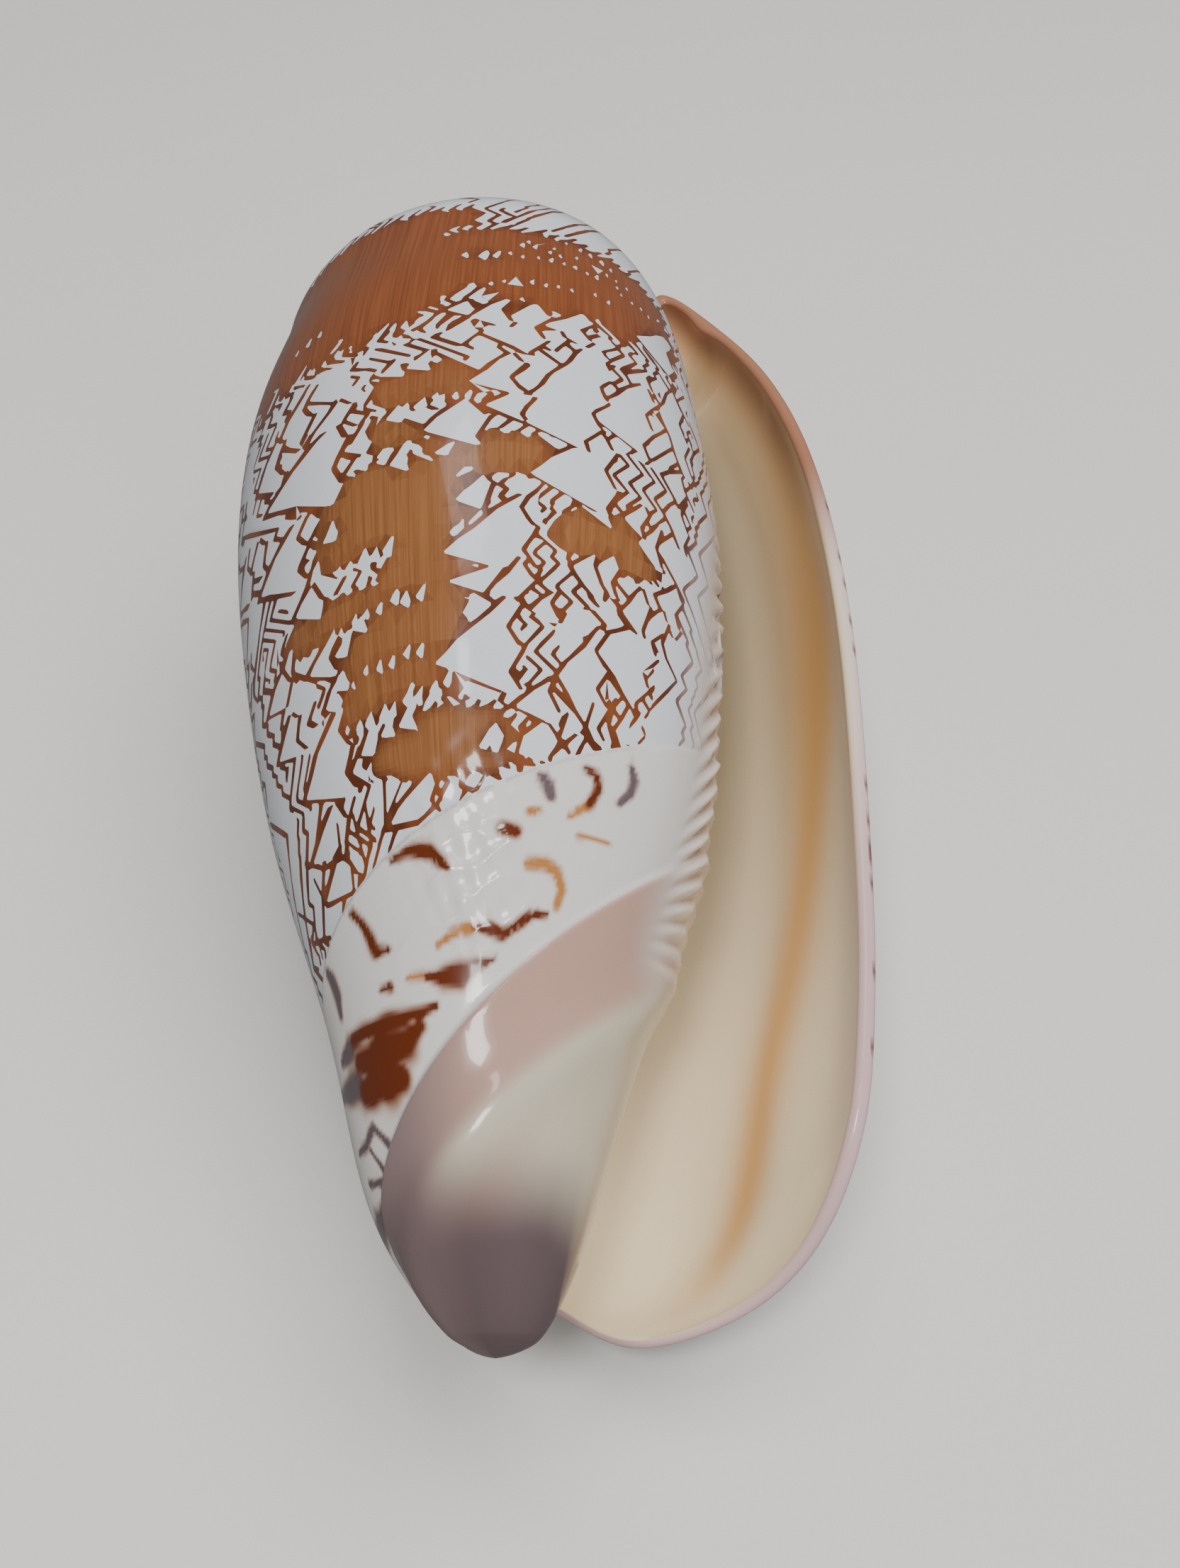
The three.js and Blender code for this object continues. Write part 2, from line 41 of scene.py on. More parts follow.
# sizes are in millimetres and angles in degrees until the mesh is made
# the angle runs from the right side over the top to the left, the way the shell grew
shellShape = {
    "apexHeight": 93.5, "growth": 1.62, "edgeAngle": 5.0, "lipAngle": 365.0,
    "height": [0, 0.6, 3, 9, 19, 31, 44, 56, 67, 75, 80],            # stations from the front tip
    "edge": [0, 1.5, 3.1, 5.3, 8.6, 12.6, 14.4, 14.8, 13.9, 12.6, 10.7],   # radius at the slit
    "side": [0, 1.6, 4.1, 7.9, 11, 15.5, 19, 21.1, 21.3, 19.9, 18.3],      # radius half a turn on
    "lip": [0, 9, 16.4, 20.2, 22.6, 23.7, 24.3, 24.1, 22.7, 20.2, 17.3],   # radius at the outer lip
    "shoulderRadius": [14.4, 11.9, 10.7], "shoulderHeight": [81.3, 81.45, 80.0],
    "liftAngle": 75, "liftRadius": [-0.3, -0.6, 0], "liftHeight": [2.9, 4.4, 0],   # the shoulder at the lip
    "seamStation": 10, "topStation": 13, "spireTurns": 2,
    "flare": 0.34, "flareAngle": 308, "flareSpread": 38, "flareFull": 2.1, "flareEnd": 4.2,
    "wallStartAngle": 195, "wallStartStation": 2.4, "notchAngle": 243, "notchHeight": 9.2,
    "cornerAngle": 318, "cornerHeight": 2.4, "cornerRise": 13, "wall": 2.3, "thinnestGap": 0.35,
    "lipWall": 1.1, "lipTaperAngle": 24, "lipTaperStations": 0.9, "rimBulge": 0.45,
    "hollowEnd": 55, "floorRise": 1.8, "floorRound": 0.8, "floorBuried": 0.3,
    "ceilingBend": 8.9, "ceilingShare": 25 / 26, "backBlend": 1.3,
    "channelAngle": 48, "channelEnd": 12.2, "channelCentre": (13.6, 80.2), "channelWall": 1.25,
    "plateHeight": 31.6, "plateFall": 0.152, "plateRise": 0.35, "plateStep": 0.5,
    "bandHeight": 38.2, "bandFall": 0.103, "bandRise": 0.2, "bandStep": 0.24,
    "ridgeHeight": 21.9, "ridgeFall": 0.12, "ridgeRise": 0.55, "ridgeWidth": 2.2,
    "plateEnd": 190, "plateFade": 40,
    "pitch": 8.5, "layShift": (-1.4312, -46.2365, 14.2224),          # how the shell lies on the floor
}
foldLook = {
    "count": 22, "rise": 0.42, "valley": 0.45, "reachLow": 32, "reachHigh": 17, "slant": 0.019,
    "edgeShare": 0.4, "onset": 6,                       # lower on the very edge
    "firstShare": 6 / 26, "lastShare": 17 / 26, "rowsPerFold": 8,
}


def ease(low, high, value):
    share = np.clip((value - low) / (high - low), 0, 1)
    return share * share * (3 - 2 * share)


def blend(first, second, share):
    return first + (second - first) * share


def curveBends(count):
    left = np.eye(count)
    right = np.zeros((count, count))
    for i in range(1, count - 1):
        left[i, i - 1:i + 2] = (1, 4, 1)
        right[i, i - 1:i + 2] = (6, -12, 6)
    return np.linalg.solve(left, right)


bends = curveBends(shellShape["topStation"] + 1)


def profile(angle, station):
    # radius and height of the plain whorl, by smooth curves through the stations
    s = shellShape
    angle, station = np.broadcast_arrays(np.asarray(angle, float), np.asarray(station, float))
    shape = angle.shape
    angle = angle.ravel()
    station = station.ravel()
    turn = (angle - s["edgeAngle"]) / 360
    logs = [np.log(np.array(s[name][1:], float)) for name in ("edge", "side", "lip")]
    shares = (2 * (turn - 0.5) * (turn - 1), -4 * turn * (turn - 1), 2 * turn * (turn - 0.5))
    grown = np.exp(sum(np.outer(share, log) for share, log in zip(shares, logs)))
    size = s["growth"] ** ((angle - s["lipAngle"]) / 360)
    raised = ease(s["lipAngle"] - s["liftAngle"], s["lipAngle"], angle)
    topRadius = np.outer(size, s["shoulderRadius"]) + np.outer(raised, s["liftRadius"])
    topHeight = s["apexHeight"] + np.outer(size, np.array(s["shoulderHeight"]) - s["apexHeight"])
    topHeight = topHeight + np.outer(raised, s["liftHeight"])
    radii = np.hstack([np.zeros((len(angle), 1)), grown, topRadius])
    heights = np.hstack([np.tile(np.array(s["height"], float), (len(angle), 1)), topHeight])
    low = np.clip(np.floor(station), 0, s["topStation"] - 1).astype(int)
    after = station - low
    before = 1 - after
    pick = np.arange(len(angle))
    found = []
    for values in (radii, heights):
        bend = values @ bends.T
        chord = before * values[pick, low] + after * values[pick, low + 1]
        sag = (before ** 3 - before) * bend[pick, low] + (after ** 3 - after) * bend[pick, low + 1]
        found.append((chord + sag / 6).reshape(shape))
    return found


wrinkleLook = {"angle": 97, "height": 26, "halfWide": 32, "halfTall": 8, "rise": 0.022}
# creases in the glaze of the band: angle and height at both ends, rise, width
creases = [
    (112, 23.4, 79, 25.9, 0.16, 0.32), (110, 25.7, 80, 26.4, 0.12, 0.3), (104, 22.5, 82, 24.0, 0.13, 0.4),
    (128, 20.2, 92, 22.6, 0.10, 0.5), (100, 20.2, 76, 22.8, 0.10, 0.4), (96, 26.6, 70, 28.6, 0.10, 0.4),
]


def creaseMiddle(crease, angle):
    share = (angle - crease[0]) / (crease[2] - crease[0])
    return blend(crease[1], crease[3], share) + 0.25 * np.sin(angle * 0.33 + crease[1])


def creaseRise(angle, height):
    # each crease is a low step along a slanting line that fades at both ends
    total = 0
    for crease in creases:
        angle0, height0, angle1, height1, rise, width = crease
        share = (angle - angle0) / (angle1 - angle0)
        fade = ease(-0.05, 0.2, share) * (1 - ease(0.75, 1.05, share))
        away = height - creaseMiddle(crease, angle)
        total = total + rise * fade * np.exp(-np.maximum(away, -away * 0.35) / width)
    return total


def wrinkleRise(angle, height):
    # slight waves of the glaze round the creases
    g = wrinkleLook
    away = np.hypot((angle - g["angle"]) / g["halfWide"], (height - g["height"]) / g["halfTall"])
    waves = np.sin(angle * 0.62 + height * 2.6) + np.sin(angle * 0.95 - height * 1.7 + 1.3)
    return g["rise"] * (1 - ease(0.4, 1, away)) * waves


def plateRise(angle, height):
    s = shellShape
    fade = 1 - ease(s["plateEnd"] - s["plateFade"], s["plateEnd"], angle)
    plateTop = s["plateHeight"] - s["plateFall"] * angle
    plate = s["plateRise"] * (1 - ease(-s["plateStep"], s["plateStep"], height - plateTop))
    bandTop = s["bandHeight"] - s["bandFall"] * angle
    plate = plate + s["bandRise"] * (1 - ease(-s["bandStep"], s["bandStep"], height - bandTop))
    plate = plate + creaseRise(angle, height) + wrinkleRise(angle, height)
    ridgeTop = s["ridgeHeight"] - s["ridgeFall"] * angle
    ridge = s["ridgeRise"] * np.exp(-((height - ridgeTop) / s["ridgeWidth"]) ** 2)
    return fade * ease(0, s["plateStep"] * 2, height) * (plate + ridge)


def outerWall(angle, station):
    s = shellShape
    radius, height = profile(angle, station)
    bell = np.exp(-((angle - s["flareAngle"]) / s["flareSpread"]) ** 2)
    low = 1 - ease(s["flareFull"], s["flareEnd"], station)
    return radius * (1 + s["flare"] * bell * low) + plateRise(angle, height), height


def depthInside(angle):
    s = shellShape
    return np.clip((s["wallStartAngle"] - angle) / (s["wallStartAngle"] - s["hollowEnd"]), 0, 1)


def floorStation(angle):
    return shellShape["wallStartStation"] + shellShape["floorRise"] * depthInside(angle)


def spindleBack(angle, station):
    s = shellShape
    edgeRadius, edgeHeight = outerWall(s["edgeAngle"] + 0 * angle, station)
    wallRadius, wallHeight = outerWall(np.minimum(angle, s["wallStartAngle"]), station)
    turned = np.clip((angle - s["wallStartAngle"]) / (s["lipAngle"] - s["wallStartAngle"]), 0, 1)
    buried = s["wall"] * ease(0, s["floorBuried"], depthInside(angle))
    cone = blend(wallRadius - buried, edgeRadius, turned)
    coiled = edgeRadius * s["growth"] ** ((angle - s["lipAngle"]) / 360)
    floor = floorStation(angle)
    share = ease(floor, floor + s["backBlend"], station)
    return blend(cone, coiled, share), blend(wallHeight, edgeHeight, turned)


ceilingStation = blend(shellShape["wallStartStation"], shellShape["seamStation"], shellShape["ceilingShare"])


def roundUp(share):
    return np.sqrt(np.maximum(0, 1 - (1 - share) ** 2))


def wallThickness(angle, station):
    # the wall thins towards its free edge, along the lip and along the front
    s = shellShape
    fromLip = ease(0, s["lipTaperAngle"], s["lipAngle"] - angle)
    fromFront = ease(0, s["lipTaperStations"], station - frontStation(angle))
    fromStart = ease(0, s["lipTaperAngle"], angle - s["wallStartAngle"])
    return blend(s["wall"], s["lipWall"], np.maximum(1 - fromLip, (1 - fromFront) * fromStart))


def channelShare(angle):
    # the hollow rises under the shoulder as it comes to the lip
    return ease(shellShape["lipAngle"] - shellShape["channelAngle"], shellShape["lipAngle"], angle)


def innerWall(angle, station):
    s = shellShape
    wallRadius, wallHeight = outerWall(angle, station)
    backRadius, backHeight = spindleBack(angle, station)
    gap = wallRadius - backRadius
    opening = np.maximum(s["thinnestGap"] * gap, gap - wallThickness(angle, station))
    bend = np.clip((station - s["ceilingBend"]) / (ceilingStation - s["ceilingBend"]), 0, 1)
    bend = bend * (1 - channelShare(angle))
    floorRound = s["floorRound"] * depthInside(angle)
    share = np.clip((station - floorStation(angle)) / np.maximum(floorRound, 1e-6), 0, 1)
    lift = np.where(floorRound > 0, roundUp(share), 1)
    return backRadius + opening * lift * roundUp(1 - bend), blend(wallHeight, backHeight, bend ** 4)


def wallEnd(angle):
    # station of the free front edge of the outer wall
    s = shellShape
    angle = np.asarray(angle, float)
    startHeight = profile(s["wallStartAngle"], s["wallStartStation"])[1]
    toNotch = blend(startHeight, s["notchHeight"], ease(s["wallStartAngle"], s["notchAngle"], angle))
    toCorner = blend(s["notchHeight"], s["cornerHeight"], ease(s["notchAngle"], s["cornerAngle"], angle))
    along = np.clip((angle - s["cornerAngle"]) / (s["lipAngle"] - s["cornerAngle"]), 0, 1)
    toLip = s["cornerHeight"] + s["cornerRise"] * (1 - np.sqrt(np.maximum(0, 1 - along * along)))
    height = np.where(angle < s["notchAngle"], toNotch, np.where(angle < s["cornerAngle"], toCorner, toLip))
    low = np.zeros(angle.shape)
    high = np.full(angle.shape, float(s["seamStation"]))
    for step in range(40):
        middle = (low + high) / 2
        under = profile(angle, middle)[1] < height
        low = np.where(under, middle, low)
        high = np.where(under, high, middle)
    return np.where(angle <= s["wallStartAngle"], s["wallStartStation"], low)


endAngles = np.linspace(shellShape["edgeAngle"], shellShape["lipAngle"], 1441)
endStations = wallEnd(endAngles)


def frontStation(angle):
    return np.interp(angle, endAngles, endStations)


def bodyStation(angle, share):
    return blend(frontStation(angle), shellShape["seamStation"], share)


foldLow = bodyStation(shellShape["edgeAngle"], foldLook["firstShare"])
foldHigh = bodyStation(shellShape["edgeAngle"], foldLook["lastShare"])


def foldRise(past, station, slanted):
    # rounded folds across the inner edge of the slit, dying out along their reach
    f = foldLook
    along = (station - foldLow) / (foldHigh - foldLow)
    for step in range(3):
        shift = slanted * f["slant"] * past * np.sin(math.pi * np.clip(along, 0, 1))
        along = (station + shift - foldLow) / (foldHigh - foldLow)
    inside = np.clip(along, 0, 1)
    reach = blend(f["reachLow"], f["reachHigh"], inside)
    onset = blend(f["edgeShare"], 1, ease(0, f["onset"], past))
    strength = f["rise"] * np.sin(math.pi * inside) ** 0.5 * onset * (1 - ease(0.3 * reach, reach, past))
    crest = 0.5 - 0.5 * np.cos(2 * math.pi * along * f["count"])
    return strength * (crest ** 0.8 * (1 + f["valley"]) - f["valley"])


def toFloor(angle, place):
    # from angle, radius and height to the lying shell, in metres
    radius, height = place
    turn = np.radians(angle)
    x = radius * np.cos(turn)
    z = radius * np.sin(turn)
    tilt = math.radians(shellShape["pitch"])
    shift = shellShape["layShift"]
    y = height * math.cos(tilt) - z * math.sin(tilt) + shift[1]
    up = height * math.sin(tilt) + z * math.cos(tilt) + shift[2]
    return np.stack([x + shift[0], y, np.maximum(up, 0)], axis=-1) / 1000


def bodyPoint(angle, share):
    station = bodyStation(angle, share)
    radius, height = outerWall(angle, station)
    return toFloor(angle, (radius + foldRise(angle - shellShape["edgeAngle"], station, 1), height))


def wallPoint(angle, station):
    return toFloor(angle, outerWall(angle, station))


def spirePoint(angle, station):
    s = shellShape
    size = s["growth"] ** ((angle - s["edgeAngle"]) / 360)
    radius, height = outerWall(s["edgeAngle"] + 0 * angle, station)
    return toFloor(angle, (radius * size, s["apexHeight"] + (height - s["apexHeight"]) * size))


def backTipPoint(angle, station):
    return toFloor(angle, spindleBack(angle, station))


def backPoint(angle, share):
    station = blend(floorStation(angle), ceilingStation, share)
    radius, height = spindleBack(angle, station)
    return toFloor(angle, (radius + foldRise(shellShape["lipAngle"] - angle, station, 0), height))


def channelPlace(angle, station):
    # under the shoulder, one wall thickness inside it, and from its inner side down to the ceiling
    s = shellShape
    reached = np.minimum(station, s["channelEnd"])
    radius, height = outerWall(angle, reached)
    across = s["channelCentre"][0] - radius
    along = s["channelCentre"][1] - height
    inward = s["channelWall"] / np.hypot(across, along)
    lastRadius, lastHeight = innerWall(angle, ceilingStation + 0 * angle)
    started = ease(ceilingStation, ceilingStation + 0.4, station)
    radius = blend(lastRadius, radius + across * inward, started)
    height = blend(lastHeight, height + along * inward, started)
    ceilingRadius, ceilingHeight = spindleBack(angle, ceilingStation + 0 * angle)
    down = np.clip((station - s["channelEnd"]) / (s["topStation"] - s["channelEnd"]), 0, 1)
    leaving = ease(ceilingStation, ceilingStation + 1.5, station)
    kept = channelShare(angle) ** leaving * (1 - down)
    return blend(ceilingRadius, radius, kept), blend(ceilingHeight, height, kept)


def insidePoint(angle, share):
    # shares up to 1 climb the wall to its ceiling, and shares from 1 to 2 line the channel
    s = shellShape
    angle, share = np.broadcast_arrays(angle, share)
    start = np.where(angle < s["wallStartAngle"], floorStation(angle), frontStation(angle))
    wallPlace = innerWall(angle, blend(start, ceilingStation, np.minimum(share, 1)))
    channel = channelPlace(angle, blend(ceilingStation, s["topStation"], np.maximum(share, 1) - 1))
    places = [np.where(share > 1, new, old) for new, old in zip(channel, wallPlace)]
    return toFloor(angle, places)


def facing(point, angle, along, limits):
    # outward direction of a surface, from small steps along it
    lowAngle, highAngle, lowAlong, highAlong = limits
    stepAngle = 0.2
    stepAlong = 0.002 * (highAlong - lowAlong)
    ahead = point(np.minimum(angle + stepAngle, highAngle), along)
    behind = point(np.maximum(angle - stepAngle, lowAngle), along)
    over = point(angle, np.minimum(along + stepAlong, highAlong))
    under = point(angle, np.maximum(along - stepAlong, lowAlong))
    normal = np.cross(over - under, ahead - behind)
    length = np.linalg.norm(normal, axis=-1, keepdims=True)
    return normal / np.maximum(length, 1e-15)


# tent pattern: dark lines that grow one after another round the whorl
tentLook = {
    "seed": 5, "mmPerDegree": 0.33, "dotsPerMm": 14, "lowHeight": 18.0, "highHeight": 84.0,
    "lineWidth": 0.31, "downSpeed": 1.05, "upSpeed": 0.62, "lineGap": 0.98, "toothSize": 2.4,
    "fleckGap": 0.98, "latticeStep": 0.12, "softness": 0.085, "fieldSoftness": 0.5, "tolerance": 0.035,
    "leftHeavy": 0.35,                                  # how much thicker the lines of the left side are
    "fieldFringe": 1.32,                                # size of a field with its fringe, in field sizes
    # brown fields: angle, height, half width in degrees, half height
    "fields": [
        (132, 69.6, 35, 6.7), (72.9, 69.2, 28.8, 4.3), (107.1, 56.7, 9.6, 1.7), (93.5, 50.7, 13.1, 1.4),
        (115, 47, 15.8, 3), (107.9, 39.2, 8.8, 6.1), (128.3, 40.9, 15, 1.2), (117.7, 36.6, 11, 3.4),
        (102.9, 31.7, 16.2, 1.8), (65.2, 45.9, 11.5, 1.9), (113.3, 53.1, 6.7, 1.1),
    ],
    # crowded zigzags: angle, height, half width in degrees, half height
    "crowds": [
        (110, 59.3, 13.3, 2.7), (59.4, 62.2, 9.4, 3.2), (75.4, 42.6, 9.6, 2.6), (83.3, 37.3, 7.5, 2.3),
        (57.1, 50.5, 8.8, 3), (128.3, 37.2, 7.5, 2.5), (129.2, 29.8, 5.8, 3.8), (87.5, 53.2, 7.5, 1.8),
        (147.9, 41.8, 7.1, 2.2), (146.7, 32, 6.7, 2), (132.1, 47, 7.1, 2.7), (113.3, 52.5, 6.7, 2.8),
        (56.7, 36.2, 7.5, 4.2), (75.8, 47.7, 6.7, 1.7), (149.2, 56.3, 5.8, 3.7), (40.8, 57.5, 4.2, 7.2),
    ],
    # rows of white flecks: from angle, to angle, height at each end, size
    "fleckRows": [
        (83.3, 60.8, 74, 72.5, 0.75), (88.3, 75.8, 71.8, 71.3, 0.7), (97.5, 60, 70.2, 70.5, 0.75),
        (90, 75.8, 69.1, 69.3, 0.55), (101.7, 90.8, 69.8, 69.8, 1.1), (98.8, 57.5, 66.5, 68.2, 0.65),
        (141.7, 132.1, 65.2, 65.7, 0.85), (147.5, 103.3, 61.3, 62.8, 0.8), (135, 101.7, 60, 61.7, 1),
        (128, 113, 43.7, 44.5, 1.3), (131, 106, 39.6, 40.9, 1.1), (126, 106, 36.2, 37.3, 1.05),
        (126.7, 100, 33.2, 35, 1.4), (61.7, 49.2, 69.8, 70, 0.7), (86.7, 56.7, 72.5, 71.2, 0.6),
        (112, 95, 54.7, 55.6, 1.0), (120.8, 105, 58.3, 59.3, 1.2),
    ],
    # single lines down to the white band: angle and height of each bend
    "lowLines": [
        [(119.2, 30.4), (121.3, 27.1), (111.5, 27.1), (106.5, 27.9)], [(106, 29.6), (104.8, 28.2)],
        [(126.2, 29.0), (126.4, 26.8), (130.5, 25.1), (133, 24.4)],
        [(154.4, 27.6), (145.9, 26.5), (134.7, 26.5)],
        [(152, 26.4), (150.2, 25.1), (149.4, 24.5), (133.3, 24.3), (129.8, 25.4), (130.6, 28.5)],
        [(136.5, 28.4), (137.8, 26.6), (134.7, 25.9), (136.2, 24.4)],
        [(98, 30.2), (99.6, 28.9), (95.4, 28.5)],
        [(160, 24.3), (166, 23.5), (152, 22.8)], [(170, 26), (163.5, 24.9), (160, 24.3), (161, 22.2)],
        [(92, 31), (93.4, 29.8), (89, 29.2)], [(84.5, 31.6), (85.6, 30.5), (80.5, 30.1)],
        [(73.2, 33.5), (75, 31.9), (71.8, 31.2)], [(66.8, 34.5), (68.4, 32.6), (65, 31.7)],
        [(60.8, 35.2), (62, 33.4), (58.6, 32.4)],
    ],
    # white tents: angle and height of the tip, length, rise and drop of the open end
    "tents": [
        (103.1, 63.5, 1.7, 1, 0.6), (98.2, 62.6, 2.6, 2, 0.8), (104.3, 60.9, 2.3, 1.5, 1.1),
        (96.2, 61.2, 4.3, 3.3, 1.9), (87.5, 61.3, 2.9, 1, 1.2), (82.3, 62.6, 3.3, 2.3, 1.1),
        (76.8, 61.4, 3.2, 1.9, 2.1), (61.7, 60.7, 2.3, 1.5, 2.7), (57.7, 65.8, 4.5, 3.2, 1.5),
        (51.7, 59.3, 3.3, 5, 4.3), (142.9, 57.2, 2.8, 2.8, 2.2), (133.3, 55, 3.5, 3, 1.8),
        (122.1, 59.8, 1.1, 1.2, 0.5), (116.2, 58.2, 1.5, 1.2, 0.5), (110.8, 58.3, 1.8, 1.3, 0.5),
        (97.7, 56.5, 3.3, 2.8, 0.8), (106.7, 52.7, 4, 3.1, 1.4), (94.2, 54.5, 2.8, 1.7, 1),
        (89, 53.7, 6, 7.5, 1.6), (72.9, 55.3, 5.6, 5.2, 1.4), (147.5, 52.2, 7.2, 3, 3.1),
        (128.8, 51.3, 1.4, 1.3, 0.4), (124.2, 52.8, 1.9, 1.7, 0.8), (114.6, 54.2, 1.2, 1.2, 0.5),
        (105.4, 54.8, 1, 0.8, 0.5), (113.8, 50.5, 1.4, 1.5, 0.7), (104.6, 50.8, 1.4, 0.7, 0.3),
        (84.6, 49.4, 6.2, 4.9, 1.8), (152.9, 46.5, 5.4, 2.8, 2.2), (142.9, 47.6, 3.4, 1.6, 1.8),
        (100, 47.2, 2.2, 1.9, 0.8), (102.5, 43.5, 6.1, 4.2, 1.7), (130.4, 46.5, 1.2, 1.3, 0.2),
        (140, 42.5, 2.5, 1.8, 1.1), (73.3, 47.8, 2.6, 2.3, 1), (62.1, 48, 1.8, 1.7, 0.8),
        (57.9, 46.7, 2.1, 2, 1.2), (101.7, 41.5, 3.4, 0.9, 1), (92.9, 40.5, 2.8, 2.7, 1.3),
        (74.2, 43.2, 2.1, 1.5, 1.8), (69.2, 43.3, 1.8, 1.7, 1.5), (61.2, 41.2, 2.3, 2.5, 1.2),
        (54.6, 40.8, 2.3, 2.2, 1.2), (51.2, 43.5, 2.6, 1.7, 2.2), (84.2, 39.3, 2.1, 1.8, 0.2),
        (69.2, 38.5, 5.8, 2.5, 3.9), (76.2, 35.7, 3.7, 3.8, 3.3), (104.8, 36.2, 6.1, 4.2, 1.9),
        (90, 37.5, 1.4, 1.5, 1.2), (87.9, 36.3, 1.1, 1.2, 0.8), (86.2, 33.5, 3.2, 2, 0.8),
        (88.2, 30.9, 4, 2.3, 0.5), (146.2, 30.8, 5.6, 4, 1.2), (131.7, 32.2, 1.4, 1.5, 0.3),
        (125.4, 31.7, 1.5, 1.3, 0.3), (119.2, 32.4, 1.4, 1.4, 0.2), (114.3, 32.7, 1.5, 1.6, 0.3),
        (137.5, 38, 2.5, 1.7, 0.8), (148.3, 39.2, 1.8, 1.3, 1), (156.2, 38, 3.3, 1.7, 0.8),
        (155, 34.5, 3.6, 2, 0.8), (138.8, 35.2, 1, 1, 0.5), (133.8, 35.3, 1.4, 1.3, 0.5),
        (130.8, 36.3, 1.4, 1.2, 0.4), (129.6, 38.3, 1.5, 1.3, 0.3), (124.2, 39.7, 1.2, 0.8, 0.5),
        (150.7, 27.1, 5.3, 2.4, 0.4), (121, 27.1, 5.1, 2.8, 0.2), (149.2, 24.7, 4.7, 2.3, 0.4),
        (77.9, 30.3, 2.8, 2, 0.7), (95, 31, 1.9, 1.7, 0.3), (151.7, 55, 2.9, 2.7, 1.7),
        (157.5, 49, 2.5, 2.3, 1.2), (44.2, 56.7, 1.9, 2.7, 2), (50, 50.3, 2.6, 2.7, 2),
        (50.8, 53.3, 2.5, 1.7, 1.7), (66.7, 32.5, 1.7, 2.5, 0.7), (60, 33.3, 1.4, 1.7, 1.2),
        (56.7, 33.3, 1.4, 1.7, 1),
    ],
}
# how a long line grows out of the one before, in millimetres; pairs are a least value and a random part
growLook = {
    "reach": 3, "calmRun": 7, "catchRun": 6, "pauseRun": 8,
    "wait": (0.6, 0.24), "pauseFrom": 0.62, "pause": 2.6, "catchUp": 0.8,
    "tooth": (0.7, 0.9), "calmFrom": 0.55, "calmTooth": (2.5, 4.5), "closest": 0.4,
}
# the side that the photo hides carries the same two broken bands, between its first and last angle
farSide = {
    "first": 172, "last": 360, "step": 15, "bands": ((70, 5.5), (42, 6.0)), "fieldShare": 0.75,
    "crowds": 60, "tents": 110, "fleckRows": (-0.9, 0.0, 0.85),
}


def stepNoise(count, step, dice):
    knots = dice.random(int(count / step) + 3)
    return np.interp(np.arange(count) / step, np.arange(len(knots)), knots)


def cone(rise):
    # how much later a line passes a place above or below the point where it starts
    return np.where(rise < 0, -rise / tentLook["downSpeed"], rise / tentLook["upSpeed"])


def growLine(line, dice):
    # the next long line starts at points along the last one and spreads up and down as the shell grows
    g = growLook
    count = len(line)
    rows = np.arange(count)
    dots = tentLook["dotsPerMm"]
    reach = 2 * int(g["reach"] * dots) + 1
    padded = np.pad(line, reach // 2, mode="edge")
    ahead = np.lib.stride_tricks.sliding_window_view(padded, reach).max(axis=1)
    calm = stepNoise(count, g["calmRun"] * dots, dice)
    catchUp = stepNoise(count, g["catchRun"] * dots, dice)
    pause = stepNoise(count, g["pauseRun"] * dots, dice)
    new = np.full(count, np.inf)
    row = int(dice.random() * dots)
    while row < count:
        wait = g["wait"][0] + g["wait"][1] * dice.random()
        if pause[row] > g["pauseFrom"]:
            wait += g["pause"] * dice.random()
        start = line[row] + wait + min(1, catchUp[row] * 1.5) * g["catchUp"] * (ahead[row] - line[row])
        new = np.minimum(new, start + cone((rows - row) / dots))
        least, extra = g["tooth"]
        step = least + extra * dice.random()
        if calm[row] > g["calmFrom"]:
            least, extra = g["calmTooth"]
            step = least + extra * dice.random()
        row += max(2, int(step * dots))
    return np.maximum(new, line + g["closest"])


def nestLine(line, starts, dice):
    # in a crowd the teeth stay where they were, so that the lines nest
    rows = np.arange(len(line))
    new = np.full(len(line), np.inf)
    last = line.max()
    for k in range(len(starts)):
        starts[k] += 0.08 * tentLook["dotsPerMm"] * dice.normal()
        row = int(np.clip(starts[k], 0, len(line) - 1))
        wait = tentLook["lineGap"] * (0.8 + 0.4 * dice.random())
        start = line[row] + wait + 0.10 * (last - line[row])
        new = np.minimum(new, start + cone((rows - starts[k]) / tentLook["dotsPerMm"]))
    return np.maximum(new, line + 0.45)


def lineMask(line, width, places, extra):
    slope = np.gradient(line, 1 / tentLook["dotsPerMm"])
    thick = np.minimum(width * np.sqrt(1 + slope ** 2), width * 2.1)
    late = places[None, :] - line[:, None]
    return (late >= 0) & (late < thick[:, None] + extra)


